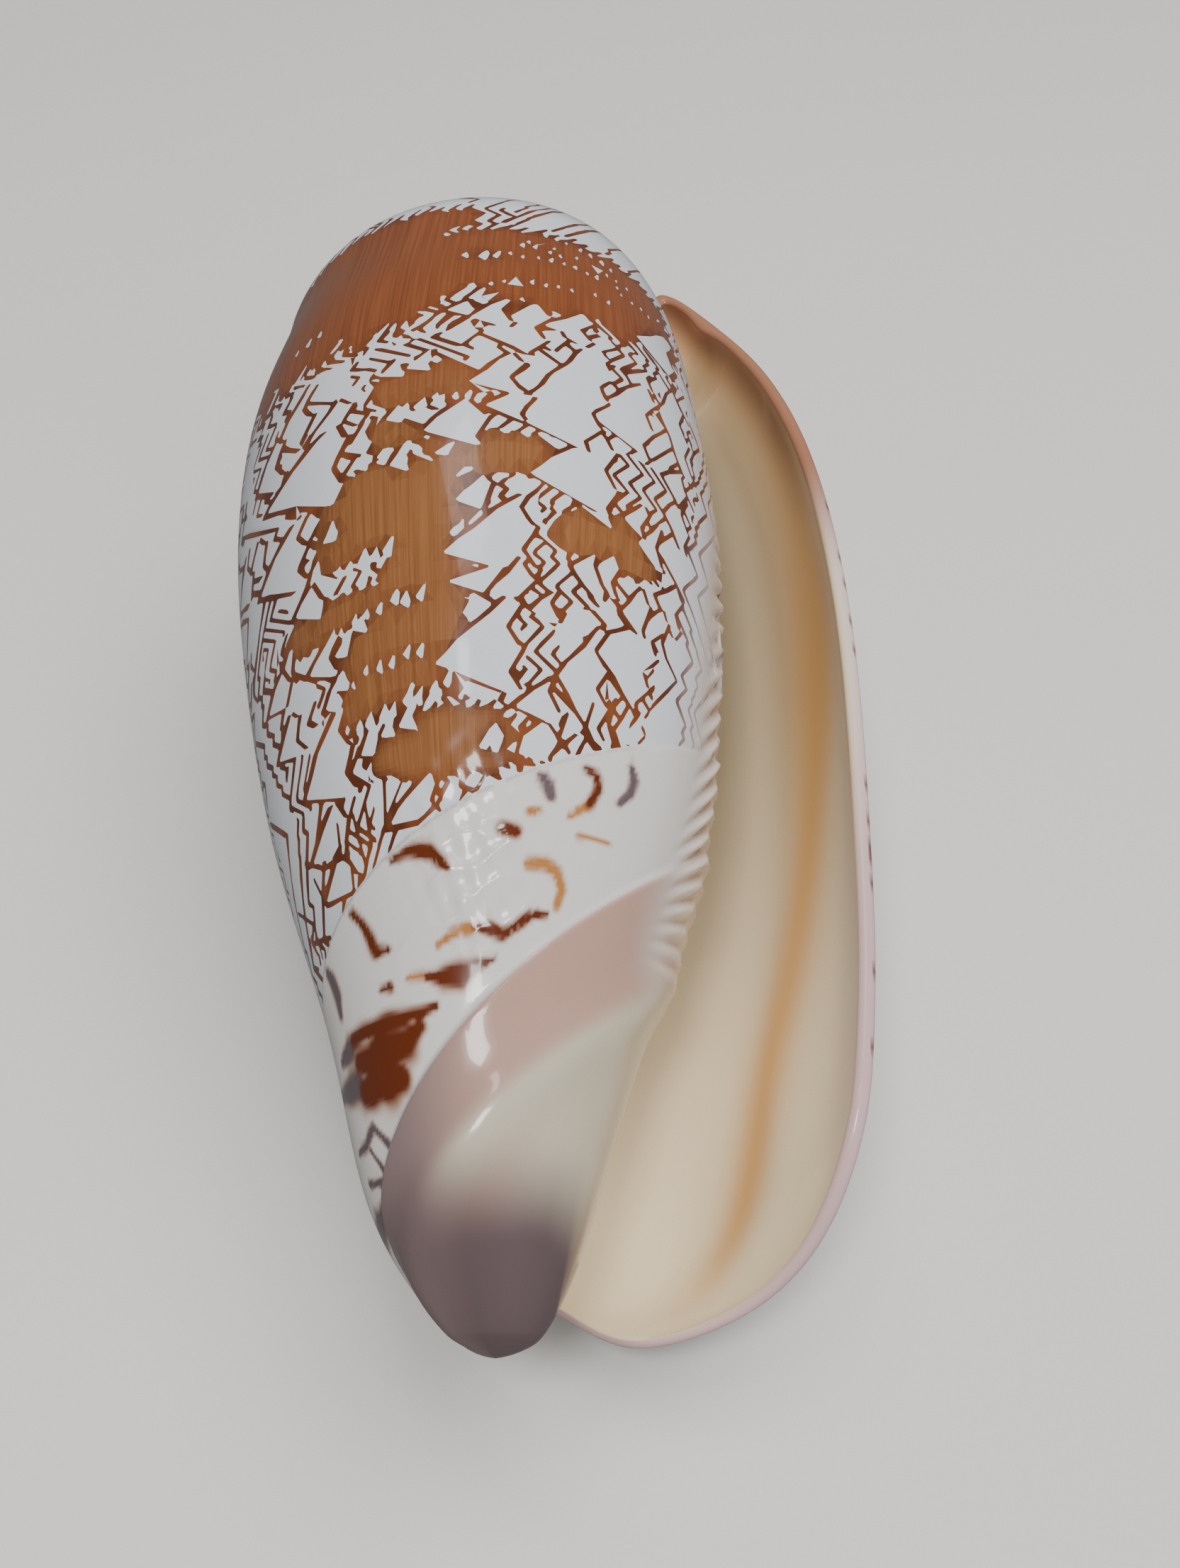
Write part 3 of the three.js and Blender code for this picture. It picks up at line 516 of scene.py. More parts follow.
class TentSheet:
    # a fine sheet of angle and height, true where the shell is dyed
    def __init__(self):
        c = tentLook
        self.dice = np.random.default_rng(c["seed"])
        self.dots = c["dotsPerMm"]
        self.start = shellShape["edgeAngle"]
        self.wide = int((shellShape["lipAngle"] - self.start) * c["mmPerDegree"] * self.dots)
        self.tall = int((c["highHeight"] - c["lowHeight"]) * self.dots)
        self.heights = c["lowHeight"] + (np.arange(self.tall) + 0.5) / self.dots
        self.places = (np.arange(self.wide) + 0.5) / self.dots
        self.dye = np.zeros((self.tall, self.wide), bool)
        self.solid = np.zeros((self.tall, self.wide), bool)

    def columns(self, low, high):
        return max(0, int(low * self.dots)), min(self.wide, int(high * self.dots))

    def rows(self, low, high):
        base = tentLook["lowHeight"]
        return max(0, int((low - base) * self.dots)), min(self.tall, int((high - base) * self.dots) + 2)

    def longLines(self):
        line = 1.5 * stepNoise(self.tall, 2 * self.dots, self.dice) - 3
        while line.min() < self.places[-1]:
            width = tentLook["lineWidth"] * (0.8 + 0.4 * stepNoise(self.tall, 3 * self.dots, self.dice))
            width = width * (1 + tentLook["leftHeavy"] * ease(40, 48, line) * (1 - ease(58, 66, line)))
            self.dye |= lineMask(line, width, self.places, 0)
            line = growLine(line, self.dice)

    def crowd(self, angle, height, halfWide, halfTall, brown):
        c = tentLook
        dice = self.dice
        grow = c["fieldFringe"] if brown else 1.0
        halfWide = halfWide * grow
        halfTall = halfTall * grow
        x0, x1 = self.columns((angle - halfWide - self.start) * c["mmPerDegree"],
                              (angle + halfWide - self.start) * c["mmPerDegree"])
        r0, r1 = self.rows(height - halfTall, height + halfTall)
        if x1 - x0 < 6 or r1 - r0 < 6:
            return
        px = self.places[x0:x1]
        ph = self.heights[r0:r1]
        across = ((px / c["mmPerDegree"] + self.start - angle) / halfWide)[None, :]
        along = ((ph - height) / halfTall)[:, None]
        far = (np.abs(across) ** 3 + np.abs(along) ** 3) ** (1 / 3)
        far = far + 0.07 * np.sin(ph * 1.3 + angle)[:, None] + 0.05 * np.sin(px * 1.9 + height)[None, :]
        starts = [dice.random() * self.dots]
        while starts[-1] < r1 - r0:
            starts.append(starts[-1] + c["toothSize"] * (0.55 + 0.9 * dice.random()) * self.dots)
        starts = np.array(starts[:-1])
        edge = px[0] - 2.5 + 0.3 * stepNoise(r1 - r0, 0.8 * self.dots, dice)
        lines = np.zeros((r1 - r0, x1 - x0), bool)
        dark = c["lineGap"] * 1.2 * np.clip((1.02 - far) / (1.02 - 1 / grow), 0, 1) ** 3 if brown else 0
        while edge.min() < px[-1]:
            width = c["lineWidth"] * (0.8 + 0.3 * stepNoise(r1 - r0, 2 * self.dots, dice))
            lines |= lineMask(edge, width, px, dark)
            edge = nestLine(edge, starts, dice)
        inside = (far < 1) & ~(self.solid[r0:r1, x0:x1] & (far > 1 / grow))
        part = self.dye[r0:r1, x0:x1]
        part[inside] = lines[inside]
        if brown:
            self.solid[r0:r1, x0:x1] |= far < 1 / grow - 0.06

    def tent(self, angle, height, length, up, down, width):
        # a white tent with its tip ahead, two dark arms and a ragged open end
        dice = self.dice
        tip = (angle - self.start) * tentLook["mmPerDegree"]
        r0, r1 = self.rows(height - down, height + up)
        x0, x1 = self.columns(tip - length - 1.5, tip + 1.2)
        if x1 - x0 < 2 or r1 - r0 < 2:
            return
        rise = self.heights[r0:r1] - height
        run = length / np.where(rise >= 0, max(up, 0.05), max(down, 0.05))
        wave = 0.12 * np.sin(self.heights[r0:r1] * 2.3 + tip * 1.7) * np.minimum(1, np.abs(rise))
        arm = np.abs(rise) * run * 0.9 + wave
        big = min(1.0, length / 3)
        tooth = np.abs(np.mod(self.heights[r0:r1] * (0.28 + 0.2 * dice.random()) + dice.random(), 1) - 0.4)
        ragged = 0.12 * stepNoise(r1 - r0, 0.6 * self.dots, dice) + 2.3 * tooth - 0.7
        cut = length + big * (0.9 * ragged + rise * (0.5 * dice.random() - 0.25))
        thick = np.minimum(width * np.sqrt(1 + run ** 2), width * 2.3)
        behind = tip - self.places[x0:x1][None, :]
        arm = arm[:, None]
        cut = cut[:, None]
        part = self.dye[r0:r1, x0:x1]
        part[(behind > arm) & (behind < cut)] = False
        if width > 0:
            part[(behind <= arm) & (behind > arm - thick[:, None]) & (behind < cut)] = True
        if length > 1.6:
            part[(behind >= cut) & (behind < cut + width * 1.25) & (behind > arm)] = True

    def drawLine(self, bends, width):
        c = tentLook
        for (angle0, height0), (angle1, height1) in zip(bends[:-1], bends[1:]):
            place0 = (angle0 - self.start) * c["mmPerDegree"]
            place1 = (angle1 - self.start) * c["mmPerDegree"]
            x0, x1 = self.columns(min(place0, place1) - 1, max(place0, place1) + 1)
            r0, r1 = self.rows(min(height0, height1) - 1, max(height0, height1) + 1)
            x = self.places[x0:x1][None, :] - place0
            y = self.heights[r0:r1][:, None] - height0
            run = place1 - place0
            rise = height1 - height0
            share = np.clip((x * run + y * rise) / (run * run + rise * rise), 0, 1)
            away = np.hypot(x - share * run, y - share * rise)
            self.dye[r0:r1, x0:x1] |= away < width / 2

    def fleckRow(self, fromAngle, toAngle, fromHeight, toHeight, size):
        dice = self.dice
        count = max(2, int(abs(fromAngle - toAngle) * tentLook["mmPerDegree"] / tentLook["fleckGap"]))
        for k in range(count):
            share = (k + 0.3 * dice.random()) / count
            height = blend(fromHeight, toHeight, share) + 0.12 * dice.normal()
            big = size * (0.75 + 0.5 * dice.random())
            self.tent(blend(fromAngle, toAngle, share), height, 0.55 * big, 0.6 * big, 0.4 * big, 0)


def addFarSide(dice, fields, crowds, tents):
    f = farSide
    for first in np.arange(f["first"], f["last"], f["step"]):
        for middle, half in f["bands"]:
            if dice.random() < f["fieldShare"]:
                angle = first + 8 * dice.random()
                height = middle + 1.5 * dice.normal()
                halfWide = 8 + 9 * dice.random()
                fields.append((angle, height, halfWide, half * (0.4 + 0.6 * dice.random())))
    for k in range(f["crowds"]):
        angle = 168 + 195 * dice.random()
        height = 24 + 54 * dice.random()
        halfWide = 5 + 7 * dice.random()
        crowds.append((angle, height, halfWide, 1.8 + 2.6 * dice.random()))
    for k in range(f["tents"]):
        size = 1.5 + 4.0 * dice.random() ** 1.5
        angle = 164 + 198 * dice.random()
        height = 22 + 56 * dice.random()
        up = size * (0.5 + 0.3 * dice.random())
        tents.append((angle, height, size, up, size * (0.25 + 0.25 * dice.random())))


def paintTents():
    c = tentLook
    sheet = TentSheet()
    sheet.longLines()
    fields = list(c["fields"])
    crowds = list(c["crowds"])
    tents = list(c["tents"])
    addFarSide(sheet.dice, fields, crowds, tents)
    for crowd in crowds:
        sheet.crowd(*crowd, False)
    for field in fields:
        sheet.crowd(*field, True)
    for tent in sorted(tents, key=lambda t: t[0] * c["mmPerDegree"] - t[2]):
        heavy = c["leftHeavy"] * ease(128, 145, tent[0]) * (1 - ease(185, 200, tent[0]))
        sheet.tent(*tent, c["lineWidth"] * (1 + heavy))
    rows = list(c["fleckRows"])
    for angle, middle, halfWide, halfTall in fields[len(c["fields"]):]:
        for shift in farSide["fleckRows"]:
            height = middle + shift * halfTall
            size = 0.6 + 0.4 * sheet.dice.random()
            rows.append((angle + halfWide, angle - halfWide, height, height + 0.6, size))
    for row in rows:
        sheet.fleckRow(*row)
    for line in c["lowLines"]:
        sheet.drawLine(line, c["lineWidth"])
    return sheet.dye.astype(float)


def soften(picture, radius):
    reach = int(math.ceil(radius * 3))
    weights = np.exp(-0.5 * (np.arange(-reach, reach + 1) / radius) ** 2)
    weights /= weights.sum()
    for axis in (0, 1):
        pads = [(0, 0), (0, 0)]
        pads[axis] = (reach, reach)
        padded = np.pad(picture, pads, mode="edge")
        total = np.zeros(picture.shape)
        for i, weight in enumerate(weights):
            slices = [slice(None), slice(None)]
            slices[axis] = slice(i, i + picture.shape[axis])
            total += weight * padded[tuple(slices)]
        picture = total
    return picture


def readPaint(picture, angle, height):
    c = tentLook
    x = (angle - shellShape["edgeAngle"]) * c["mmPerDegree"] * c["dotsPerMm"] - 0.5
    y = (height - c["lowHeight"]) * c["dotsPerMm"] - 0.5
    x = np.clip(x, 0, picture.shape[1] - 1.001)
    y = np.clip(y, 0, picture.shape[0] - 1.001)
    column = x.astype(int)
    row = y.astype(int)
    fx = x - column
    fy = y - row
    lower = picture[row, column] * (1 - fx) + picture[row, column + 1] * fx
    upper = picture[row + 1, column] * (1 - fx) + picture[row + 1, column + 1] * fx
    value = lower * (1 - fy) + upper * fy
    bandLine = shellShape["bandHeight"] - shellShape["bandFall"] * angle
    return value * ease(-0.15, 0.35, height - bandLine)


tentPaint = paintTents()
tentSharp = soften(tentPaint, tentLook["softness"] * tentLook["dotsPerMm"])
tentBroad = soften(tentPaint, tentLook["fieldSoftness"] * tentLook["dotsPerMm"])
print("tent pattern painted")

# soft strokes on the white band: colour, then angle, height and half width along the stroke
bandStrokes = [
    ("blotch", (121, 25.3, 0.25), (115, 25.6, 0.4), (109, 25.3, 0.5), (106, 24.7, 0.45), (104, 24.3, 0.2)),
    ("blotch", (138, 23.2, 0.35), (135, 22.4, 0.4), (133, 21.4, 0.42), (132, 20.7, 0.42), (127, 20.6, 0.3)),
    ("slate", (159, 21.2, 0.4), (157, 20.5, 0.55), (156, 19.5, 0.6), (157, 18.4, 0.4)),
    ("blotch", (133, 18.6, 0.25), (129, 18.6, 0.35)),
    ("ochre", (121, 18.8, 0.2), (112, 18.8, 0.3)),
    ("blotch", (114, 18.7, 0.3), (108, 18.6, 0.65), (102, 18.6, 0.8), (96, 19.1, 0.4), (90, 19.5, 0.15)),
    ("ochre", (109, 20.3, 0.2), (103, 20.9, 0.35), (98, 21.1, 0.4)),
    ("blotch", (97, 21.1, 0.2), (92, 21.0, 0.4), (88, 20.7, 0.4), (84, 21.1, 0.35),
     (79, 21.9, 0.35), (74, 22.0, 0.2)),
    ("ochre", (81, 24.6, 0.3), (76, 24.7, 0.35), (72, 24.3, 0.35), (70, 23.5, 0.35), (71, 22.6, 0.3)),
    ("slate", (79, 29.6, 0.3), (77, 29.1, 0.35), (76, 28.4, 0.3)),
    ("blotch", (67, 30.4, 0.25), (64, 30.1, 0.35), (63, 29.4, 0.35), (65, 28.4, 0.3)),
    ("ochre", (65, 28.4, 0.3), (70, 27.6, 0.25)),
    ("slate", (54, 31.4, 0.25), (52.5, 30.7, 0.32), (53, 29.8, 0.3), (56, 29.0, 0.2)),
    ("blotch", (88, 26.4, 0.4), (85, 26.2, 0.45)),
    ("ochre", (81, 27.4, 0.25), (79, 27.5, 0.25)),
    ("ochre", (67, 26.5, 0.14), (57, 26.6, 0.16)),
    ("slate", (180, 14.7, 0.4), (166, 14.3, 0.8), (154, 14.0, 1.2)),
    ("slate", (166, 16.0, 0.4), (156, 16.3, 0.8)),
    ("blotch", (152, 16.6, 0.5), (138, 16.7, 0.7), (126, 16.7, 0.6), (112, 17.1, 0.25)),
    ("blotch", (151, 15.2, 0.9), (138, 15.1, 1.7), (127, 15.4, 1.2), (119, 16.2, 0.5)),
    ("blotch", (151, 13.6, 1.0), (139, 13.5, 1.4), (130, 13.7, 1.0)),
    ("slate", (169, 10.8, 0.25), (158, 10.9, 0.3), (150, 11.6, 0.35), (142, 10.4, 0.3)),
    ("slate", (156, 10.6, 0.2), (150, 9.4, 0.3), (147, 8.7, 0.3), (154, 8.7, 0.3), (166, 9.0, 0.25)),
    ("slate", (190, 6.6, 0.8), (170, 6.9, 0.8), (156, 7.6, 0.4)),
]
strokeLook = {"mmPerDegree": 0.21, "core": 0.2, "soft": 1.65, "near": 2.0, "onBand": 0.6,
              "stepAcross": 0.338, "stepAlong": 0.234, "angles": (48, 196), "rows": (3, 33)}


def strokeAway(points, angle, height):
    # distance from a soft stroke in half widths of it
    wave = 0.14 * np.sin(angle * 0.31 + height * 1.4) + 0.07 * np.sin(angle * 0.55 - height * 2.3)
    best = np.full(len(angle), np.inf)
    for (angle0, height0, half0), (angle1, height1, half1) in zip(points[:-1], points[1:]):
        run = (angle1 - angle0) * strokeLook["mmPerDegree"]
        rise = height1 - height0
        x = (angle - angle0) * strokeLook["mmPerDegree"]
        y = height - height0
        share = np.clip((x * run + y * rise) / (run * run + rise * rise), 0, 1)
        half = blend(half0, half1, share) * (1 + wave)
        best = np.minimum(best, np.hypot(x - share * run, y - share * rise) / half)
    return best


# the body is cut along the borders of the markings, on a flat sheet of angle and share
sheetLook = {"tall": 75.0, "pointStep": 1.15, "seamStep": 1.5, "frontStep": 2.0, "wallStep": 2.25,
             "hollowStep": 5, "lipRows": 84, "foldColumnStep": 1.5, "foldPatchEnd": 46, "blotchStep": 0.5,
             "cell": 0.3, "shortest": 1.0, "rimSteps": 12}


def sheetX(angle):
    return (angle - shellShape["edgeAngle"]) * tentLook["mmPerDegree"]


def markingBorders():
    # crossing points of the softened paint on a fine lattice, chained to lines and thinned out
    c = tentLook
    step = c["latticeStep"]
    wide = sheetX(shellShape["lipAngle"])
    tall = sheetLook["tall"]
    xs = np.linspace(0.5 * step, wide - 0.5 * step, int(wide / step))
    ys = np.linspace(0.5 * step, tall - 0.5 * step, int(tall / step))
    angle = np.tile(shellShape["edgeAngle"] + xs / c["mmPerDegree"], (len(ys), 1))
    share = np.tile((ys / tall)[:, None], (1, len(xs)))
    height = profile(angle, bodyStation(angle, share))[1]
    value = readPaint(tentSharp, angle, height) - 0.5
    points = []
    flat = np.full((len(ys), len(xs) - 1), -1)
    upright = np.full((len(ys) - 1, len(xs)), -1)
    row, column = np.nonzero((value[:, :-1] > 0) != (value[:, 1:] > 0))
    part = value[row, column] / (value[row, column] - value[row, column + 1])
    flat[row, column] = np.arange(len(row))
    points.append(np.stack([blend(xs[column], xs[column + 1], part), ys[row]], 1))
    row, column = np.nonzero((value[:-1] > 0) != (value[1:] > 0))
    part = value[row, column] / (value[row, column] - value[row + 1, column])
    upright[row, column] = len(points[0]) + np.arange(len(row))
    points.append(np.stack([xs[column], blend(ys[row], ys[row + 1], part)], 1))
    points = np.vstack(points)
    sides = np.stack([flat[:-1], upright[:, 1:], flat[1:], upright[:, :-1]], -1)
    hits = (sides >= 0).sum(-1)
    pairs = []
    cell = sides[hits == 2]
    order = np.argsort(cell < 0, axis=1, kind="stable")
    pairs.append(np.take_along_axis(cell, order, 1)[:, :2])
    cell = sides[hits == 4]
    pairs.append(cell[:, [0, 3]])
    pairs.append(cell[:, [1, 2]])
    neighbours = [[] for k in range(len(points))]
    for first, second in np.vstack(pairs).tolist():
        neighbours[first].append(second)
        neighbours[second].append(first)
    used = np.zeros(len(points), bool)
    starts = [k for k in range(len(points)) if len(neighbours[k]) == 1] + list(range(len(points)))
    chains = []
    for start in starts:
        if used[start] or not neighbours[start]:
            continue
        chain = [start]
        used[start] = True
        here = start
        while True:
            ahead = [k for k in neighbours[here] if not used[k]]
            if not ahead:
                break
            here = ahead[0]
            used[here] = True
            chain.append(here)
        closed = len(chain) > 2 and start in neighbours[here]
        line = points[chain]
        if closed:
            line = np.vstack([line, line[:1]])
        if np.linalg.norm(np.diff(line, axis=0), axis=1).sum() > sheetLook["shortest"]:
            chains.append((thinned(line, c["tolerance"]), closed))
    return chains


def thinned(line, tolerance):
    keep = np.zeros(len(line), bool)
    keep[[0, -1]] = True
    spans = [(0, len(line) - 1)]
    if np.allclose(line[0], line[-1]):
        far = int(np.linalg.norm(line - line[0], axis=1).argmax())
        keep[far] = True
        spans = [(0, far), (far, len(line) - 1)]
    while spans:
        first, last = spans.pop()
        if last - first < 2:
            continue
        run = line[last] - line[first]
        rest = line[first + 1:last] - line[first]
        away = np.abs(run[0] * rest[:, 1] - run[1] * rest[:, 0]) / max(np.hypot(*run), 1e-9)
        worst = int(away.argmax())
        if away[worst] > tolerance:
            keep[first + 1 + worst] = True
            spans += [(first, first + 1 + worst), (first + 1 + worst, last)]
    return line[keep]


def steps(first, last, size):
    return np.linspace(first, last, int(round((last - first) / size)) + 1)


s = shellShape
frontAngles = steps(s["edgeAngle"], s["wallStartAngle"], sheetLook["frontStep"])
wallAngles = np.concatenate([
    steps(s["wallStartAngle"], s["cornerAngle"], sheetLook["wallStep"])[:-1],
    s["cornerAngle"] + (s["lipAngle"] - s["cornerAngle"]) * np.sin(np.linspace(0, math.pi / 2, 37)),
])
seamAngles = steps(s["edgeAngle"], s["lipAngle"], sheetLook["seamStep"])
foldRows = foldLook["count"] * foldLook["rowsPerFold"]
edgeShares = np.concatenate([
    np.linspace(0, foldLook["firstShare"], 26)[:-1],
    np.linspace(foldLook["firstShare"], foldLook["lastShare"], foldRows + 1)[:-1],
    np.linspace(foldLook["lastShare"], s["ceilingShare"], 31),
])
topShares = np.linspace(s["ceilingShare"], 1, 4)
lipShares = np.linspace(0, s["ceilingShare"], sheetLook["lipRows"] + 1)
edgeColumn = np.concatenate([edgeShares, topShares[1:]])
lipColumn = np.concatenate([lipShares, topShares[1:]])


def onSheet(angle, height):
    # place on the flat sheet of a place given by angle and height
    low = np.zeros(angle.shape)
    high = np.ones(angle.shape)
    for step in range(30):
        middle = (low + high) / 2
        under = profile(angle, bodyStation(angle, middle))[1] < height
        low = np.where(under, middle, low)
        high = np.where(under, high, middle)
    return np.stack([sheetX(angle), low * sheetLook["tall"]], 1)


def fromSheet(points):
    # angle and height of places on the flat sheet
    angle = s["edgeAngle"] + points[:, 0] / tentLook["mmPerDegree"]
    return angle, profile(angle, bodyStation(angle, points[:, 1] / sheetLook["tall"]))[1]


def sheetGrid(x, y):
    return np.stack(np.meshgrid(x, y), -1).reshape(-1, 2)


def inCells(points):
    # row and column of each point in the coarse cells that keep points apart
    return (points[:, 1] / sheetLook["cell"]).astype(int), (points[:, 0] / sheetLook["cell"]).astype(int)


def sheetBorder():
    tall = sheetLook["tall"]
    bottomAngles = np.concatenate([frontAngles, wallAngles[1:]])
    bottom = np.stack([sheetX(bottomAngles), 0 * bottomAngles], 1)
    lip = np.stack([sheetX(s["lipAngle"]) + 0 * lipColumn, lipColumn * tall], 1)
    top = np.stack([sheetX(seamAngles), tall + 0 * seamAngles], 1)[::-1]
    edge = np.stack([0 * edgeColumn, edgeColumn * tall], 1)[::-1]
    return np.vstack([side[:-1] for side in (bottom, lip, top, edge)])


def evenPoints():
    # every second row is set half a step across
    step = sheetLook["pointStep"]
    wide = sheetX(s["lipAngle"])
    rows = np.arange(0.6 * step, sheetLook["tall"] - 0.4 * step, step * 0.87)
    grid = []
    for k, y in enumerate(rows):
        x = np.arange(0.5 * step + 0.5 * step * (k % 2), wide - 0.4 * step, step)
        grid.append(np.stack([x, 0 * x + y], 1))
    return np.vstack(grid)


def bandPoints(first):
    x = np.arange(first, sheetX(200), sheetLook["blotchStep"])
    points = sheetGrid(x, np.arange(0.4, 30, sheetLook["blotchStep"]))
    angle, height = fromSheet(points)
    return points[(height < s["bandHeight"] - s["bandFall"] * angle + 1) & (height > 2)]


def strokePoints():
    # finer points under the strokes and the wrinkles of the band
    first, last = strokeLook["angles"]
    low, high = strokeLook["rows"]
    x = np.arange(sheetX(first), sheetX(last), strokeLook["stepAcross"])
    points = sheetGrid(x, np.arange(low, high, strokeLook["stepAlong"]))
    angle, height = fromSheet(points)
    away = np.min([strokeAway(stroke[1:], angle, height) for stroke in bandStrokes], axis=0)
    wrinkled = np.abs(angle - wrinkleLook["angle"]) < wrinkleLook["halfWide"]
    wrinkled &= np.abs(height - wrinkleLook["height"]) < wrinkleLook["halfTall"]
    return points[(away < strokeLook["near"]) | wrinkled]


def stepPoints():
    # rows of points along the borders of the plate and the band, and along the creases
    borders = [
        (s["edgeAngle"] + 4, s["plateHeight"], s["plateFall"], 0.25),
        (48, s["bandHeight"], s["bandFall"], 0.14),
    ]
    found = []
    for first, high, fall, gap in borders:
        angle = steps(first, s["plateEnd"], 1.2)
        for row in range(-2, 3):
            found.append(onSheet(angle, high - fall * angle + row * gap))
    for crease in creases:
        angle = blend(crease[0], crease[2], np.linspace(-0.05, 1.05, 40))
        for offset in (-0.45, -0.2, -0.06, 0.06, 0.2, 0.45):
            found.append(onSheet(angle, creaseMiddle(crease, angle) + offset))
    found = np.vstack(found)
    return found[(found[:, 1] > 0.5) & (found[:, 0] > 0.5)]


def cutBody():
    tall = sheetLook["tall"]
    cell = sheetLook["cell"]
    cells = (int(tall / cell) + 2, int(sheetX(s["lipAngle"]) / cell) + 2)
    points = [sheetBorder()]
    count = len(points[0])
    edges = [(k, (k + 1) % count) for k in range(count)]
    near = np.zeros(cells, bool)
    for line, closed in markingBorders():
        if closed:
            line = line[:-1]
        points.append(line)
        edges += [(count + k, count + k + 1) for k in range(len(line) - 1)]
        if closed:
            edges.append((count + len(line) - 1, count))
        count += len(line)
        near[inCells(line)] = True
    print("marking borders", count)
    foldX = sheetX(steps(s["edgeAngle"] + 0.9, sheetLook["foldPatchEnd"], sheetLook["foldColumnStep"]))
    inFold = (edgeColumn > foldLook["firstShare"] - 0.05) & (edgeColumn < foldLook["lastShare"])
    foldY = edgeColumn[inFold] * tall
    even = evenPoints()
    beside = even[:, 0] < foldX[-1] + cell
    even = even[~(beside & (even[:, 1] > foldY[0] - cell) & (even[:, 1] < foldY[-1] + cell))]
    # the finest points come first, and coarser ones stay out of their cells
    taken = np.zeros(cells, bool)
    followed = stepPoints()
    taken[inCells(followed)] = True
    fine = strokePoints()
    fine = fine[~taken[inCells(fine)]]
    taken[inCells(fine)] = True
    band = bandPoints(foldX[-1] + 0.5)
    band = band[~taken[inCells(band)]]
    for extra in (even, sheetGrid(foldX, foldY), band, fine, followed):
        points.append(extra[~near[inCells(extra)]])
    points = np.vstack(points)
    made = delaunay_2d_cdt([Vector(p) for p in points.tolist()], edges, [], 0, 1e-5, False)
    flat = np.array([tuple(v) for v in made[0]])
    faces = np.array([f for f in made[2] if len(f) == 3])
    angle = s["edgeAngle"] + flat[:, 0] / tentLook["mmPerDegree"]
    return np.clip(angle, s["edgeAngle"], s["lipAngle"]), np.clip(flat[:, 1] / tall, 0, 1), faces


pieces = []


def addPiece(kind, angle, along, places, faces, normals, heights, chart):
    # chart is the left, low, wide and tall of the patch on the flat map
    if normals is None:
        normals = np.zeros((len(angle), 3))             # left to the mesh itself
    pieces.append({"kind": kind, "angle": angle, "along": along, "places": places, "faces": faces,
                   "normals": normals, "heights": heights, "chart": chart})


def gridFaces(rows, columns, outward):
    # columns run with the angle, rows run along the shell
    number = np.arange(rows * columns).reshape(columns, rows)
    here = number[:-1, :-1].ravel()
    over = number[:-1, 1:].ravel()
    beside = number[1:, :-1].ravel()
    across = number[1:, 1:].ravel()
    faces = np.vstack([np.stack([here, over, across], 1), np.stack([here, across, beside], 1)])
    return faces if outward else faces[:, ::-1]


def addGrid(kind, point, angles, alongs, outward, heightOf, chart):
    angle, along = [a.ravel() for a in np.meshgrid(angles, alongs, indexing="ij")]
    places = point(angle, along)
    limits = (angles.min(), angles.max(), alongs.min(), alongs.max())
    normals = facing(point, angle, along, limits) * (1 if outward else -1)
    faces = gridFaces(len(alongs), len(angles), outward)
    addPiece(kind, angle, along, places, faces, normals, heightOf(angle, along), chart)


bodyAngle, bodyShare, bodyFaces = cutBody()
bodyPlaces = bodyPoint(bodyAngle, bodyShare)
bodyNormals = facing(bodyPoint, bodyAngle, bodyShare, (s["edgeAngle"], s["lipAngle"], 0, 1))
bodyHeights = profile(bodyAngle, bodyStation(bodyAngle, bodyShare))[1]
corner = bodyPlaces[bodyFaces]
turned = np.cross(corner[:, 1] - corner[:, 0], corner[:, 2] - corner[:, 0])
flipped = (turned * bodyNormals[bodyFaces].mean(1)).sum(1) < 0
bodyFaces[flipped] = bodyFaces[flipped][:, ::-1]
addPiece("body", bodyAngle, bodyShare, bodyPlaces, bodyFaces, bodyNormals, bodyHeights, (0, 0, 1, 0.5))
print("body cut", len(bodyFaces))


def plainHeight(angle, station):
    return profile(angle, station)[1]


def innerHeight(angle, share):
    return blend(2.0, 80.0, np.minimum(share, 1)) + 5 * np.maximum(share - 1, 0)


tipStations = np.linspace(0, 1, 25) ** 1.3 * s["wallStartStation"]
shoulderStations = np.linspace(s["seamStation"], s["topStation"], 22)
addGrid("tip", wallPoint, frontAngles, tipStations, True, plainHeight, (0, 0.51, 0.3, 0.12))
addGrid("shoulder", wallPoint, seamAngles, shoulderStations, True, plainHeight, (0.31, 0.51, 0.69, 0.05))
for turn in range(1, s["spireTurns"] + 1):
    addGrid("spire", spirePoint, seamAngles - 360 * turn, shoulderStations[::2 if turn > 1 else 1], True,
            plainHeight, (0.31, 0.51 + 0.06 * turn, 0.69, 0.05))
addGrid("backTip", backTipPoint, wallAngles, tipStations, True, plainHeight, (0, 0.64, 0.3, 0.1))
hollowAngles = steps(s["hollowEnd"], s["wallStartAngle"], sheetLook["hollowStep"])
backAngles = np.concatenate([hollowAngles[:-1], wallAngles])
backShares = edgeShares / s["ceilingShare"]
lipStations = np.concatenate([bodyStation(s["lipAngle"], topShares)[1:], shoulderStations[1:]])
lipInside = np.concatenate([
    lipShares / s["ceilingShare"],
    1 + (lipStations - ceilingStation) / (s["topStation"] - ceilingStation),
])
addGrid("back", backPoint, backAngles, backShares, True, innerHeight, (0, 0.75, 0.45, 0.25))
addGrid("inside", insidePoint, backAngles, lipInside, False, innerHeight, (0.46, 0.75, 0.54, 0.25))
print("patches made")

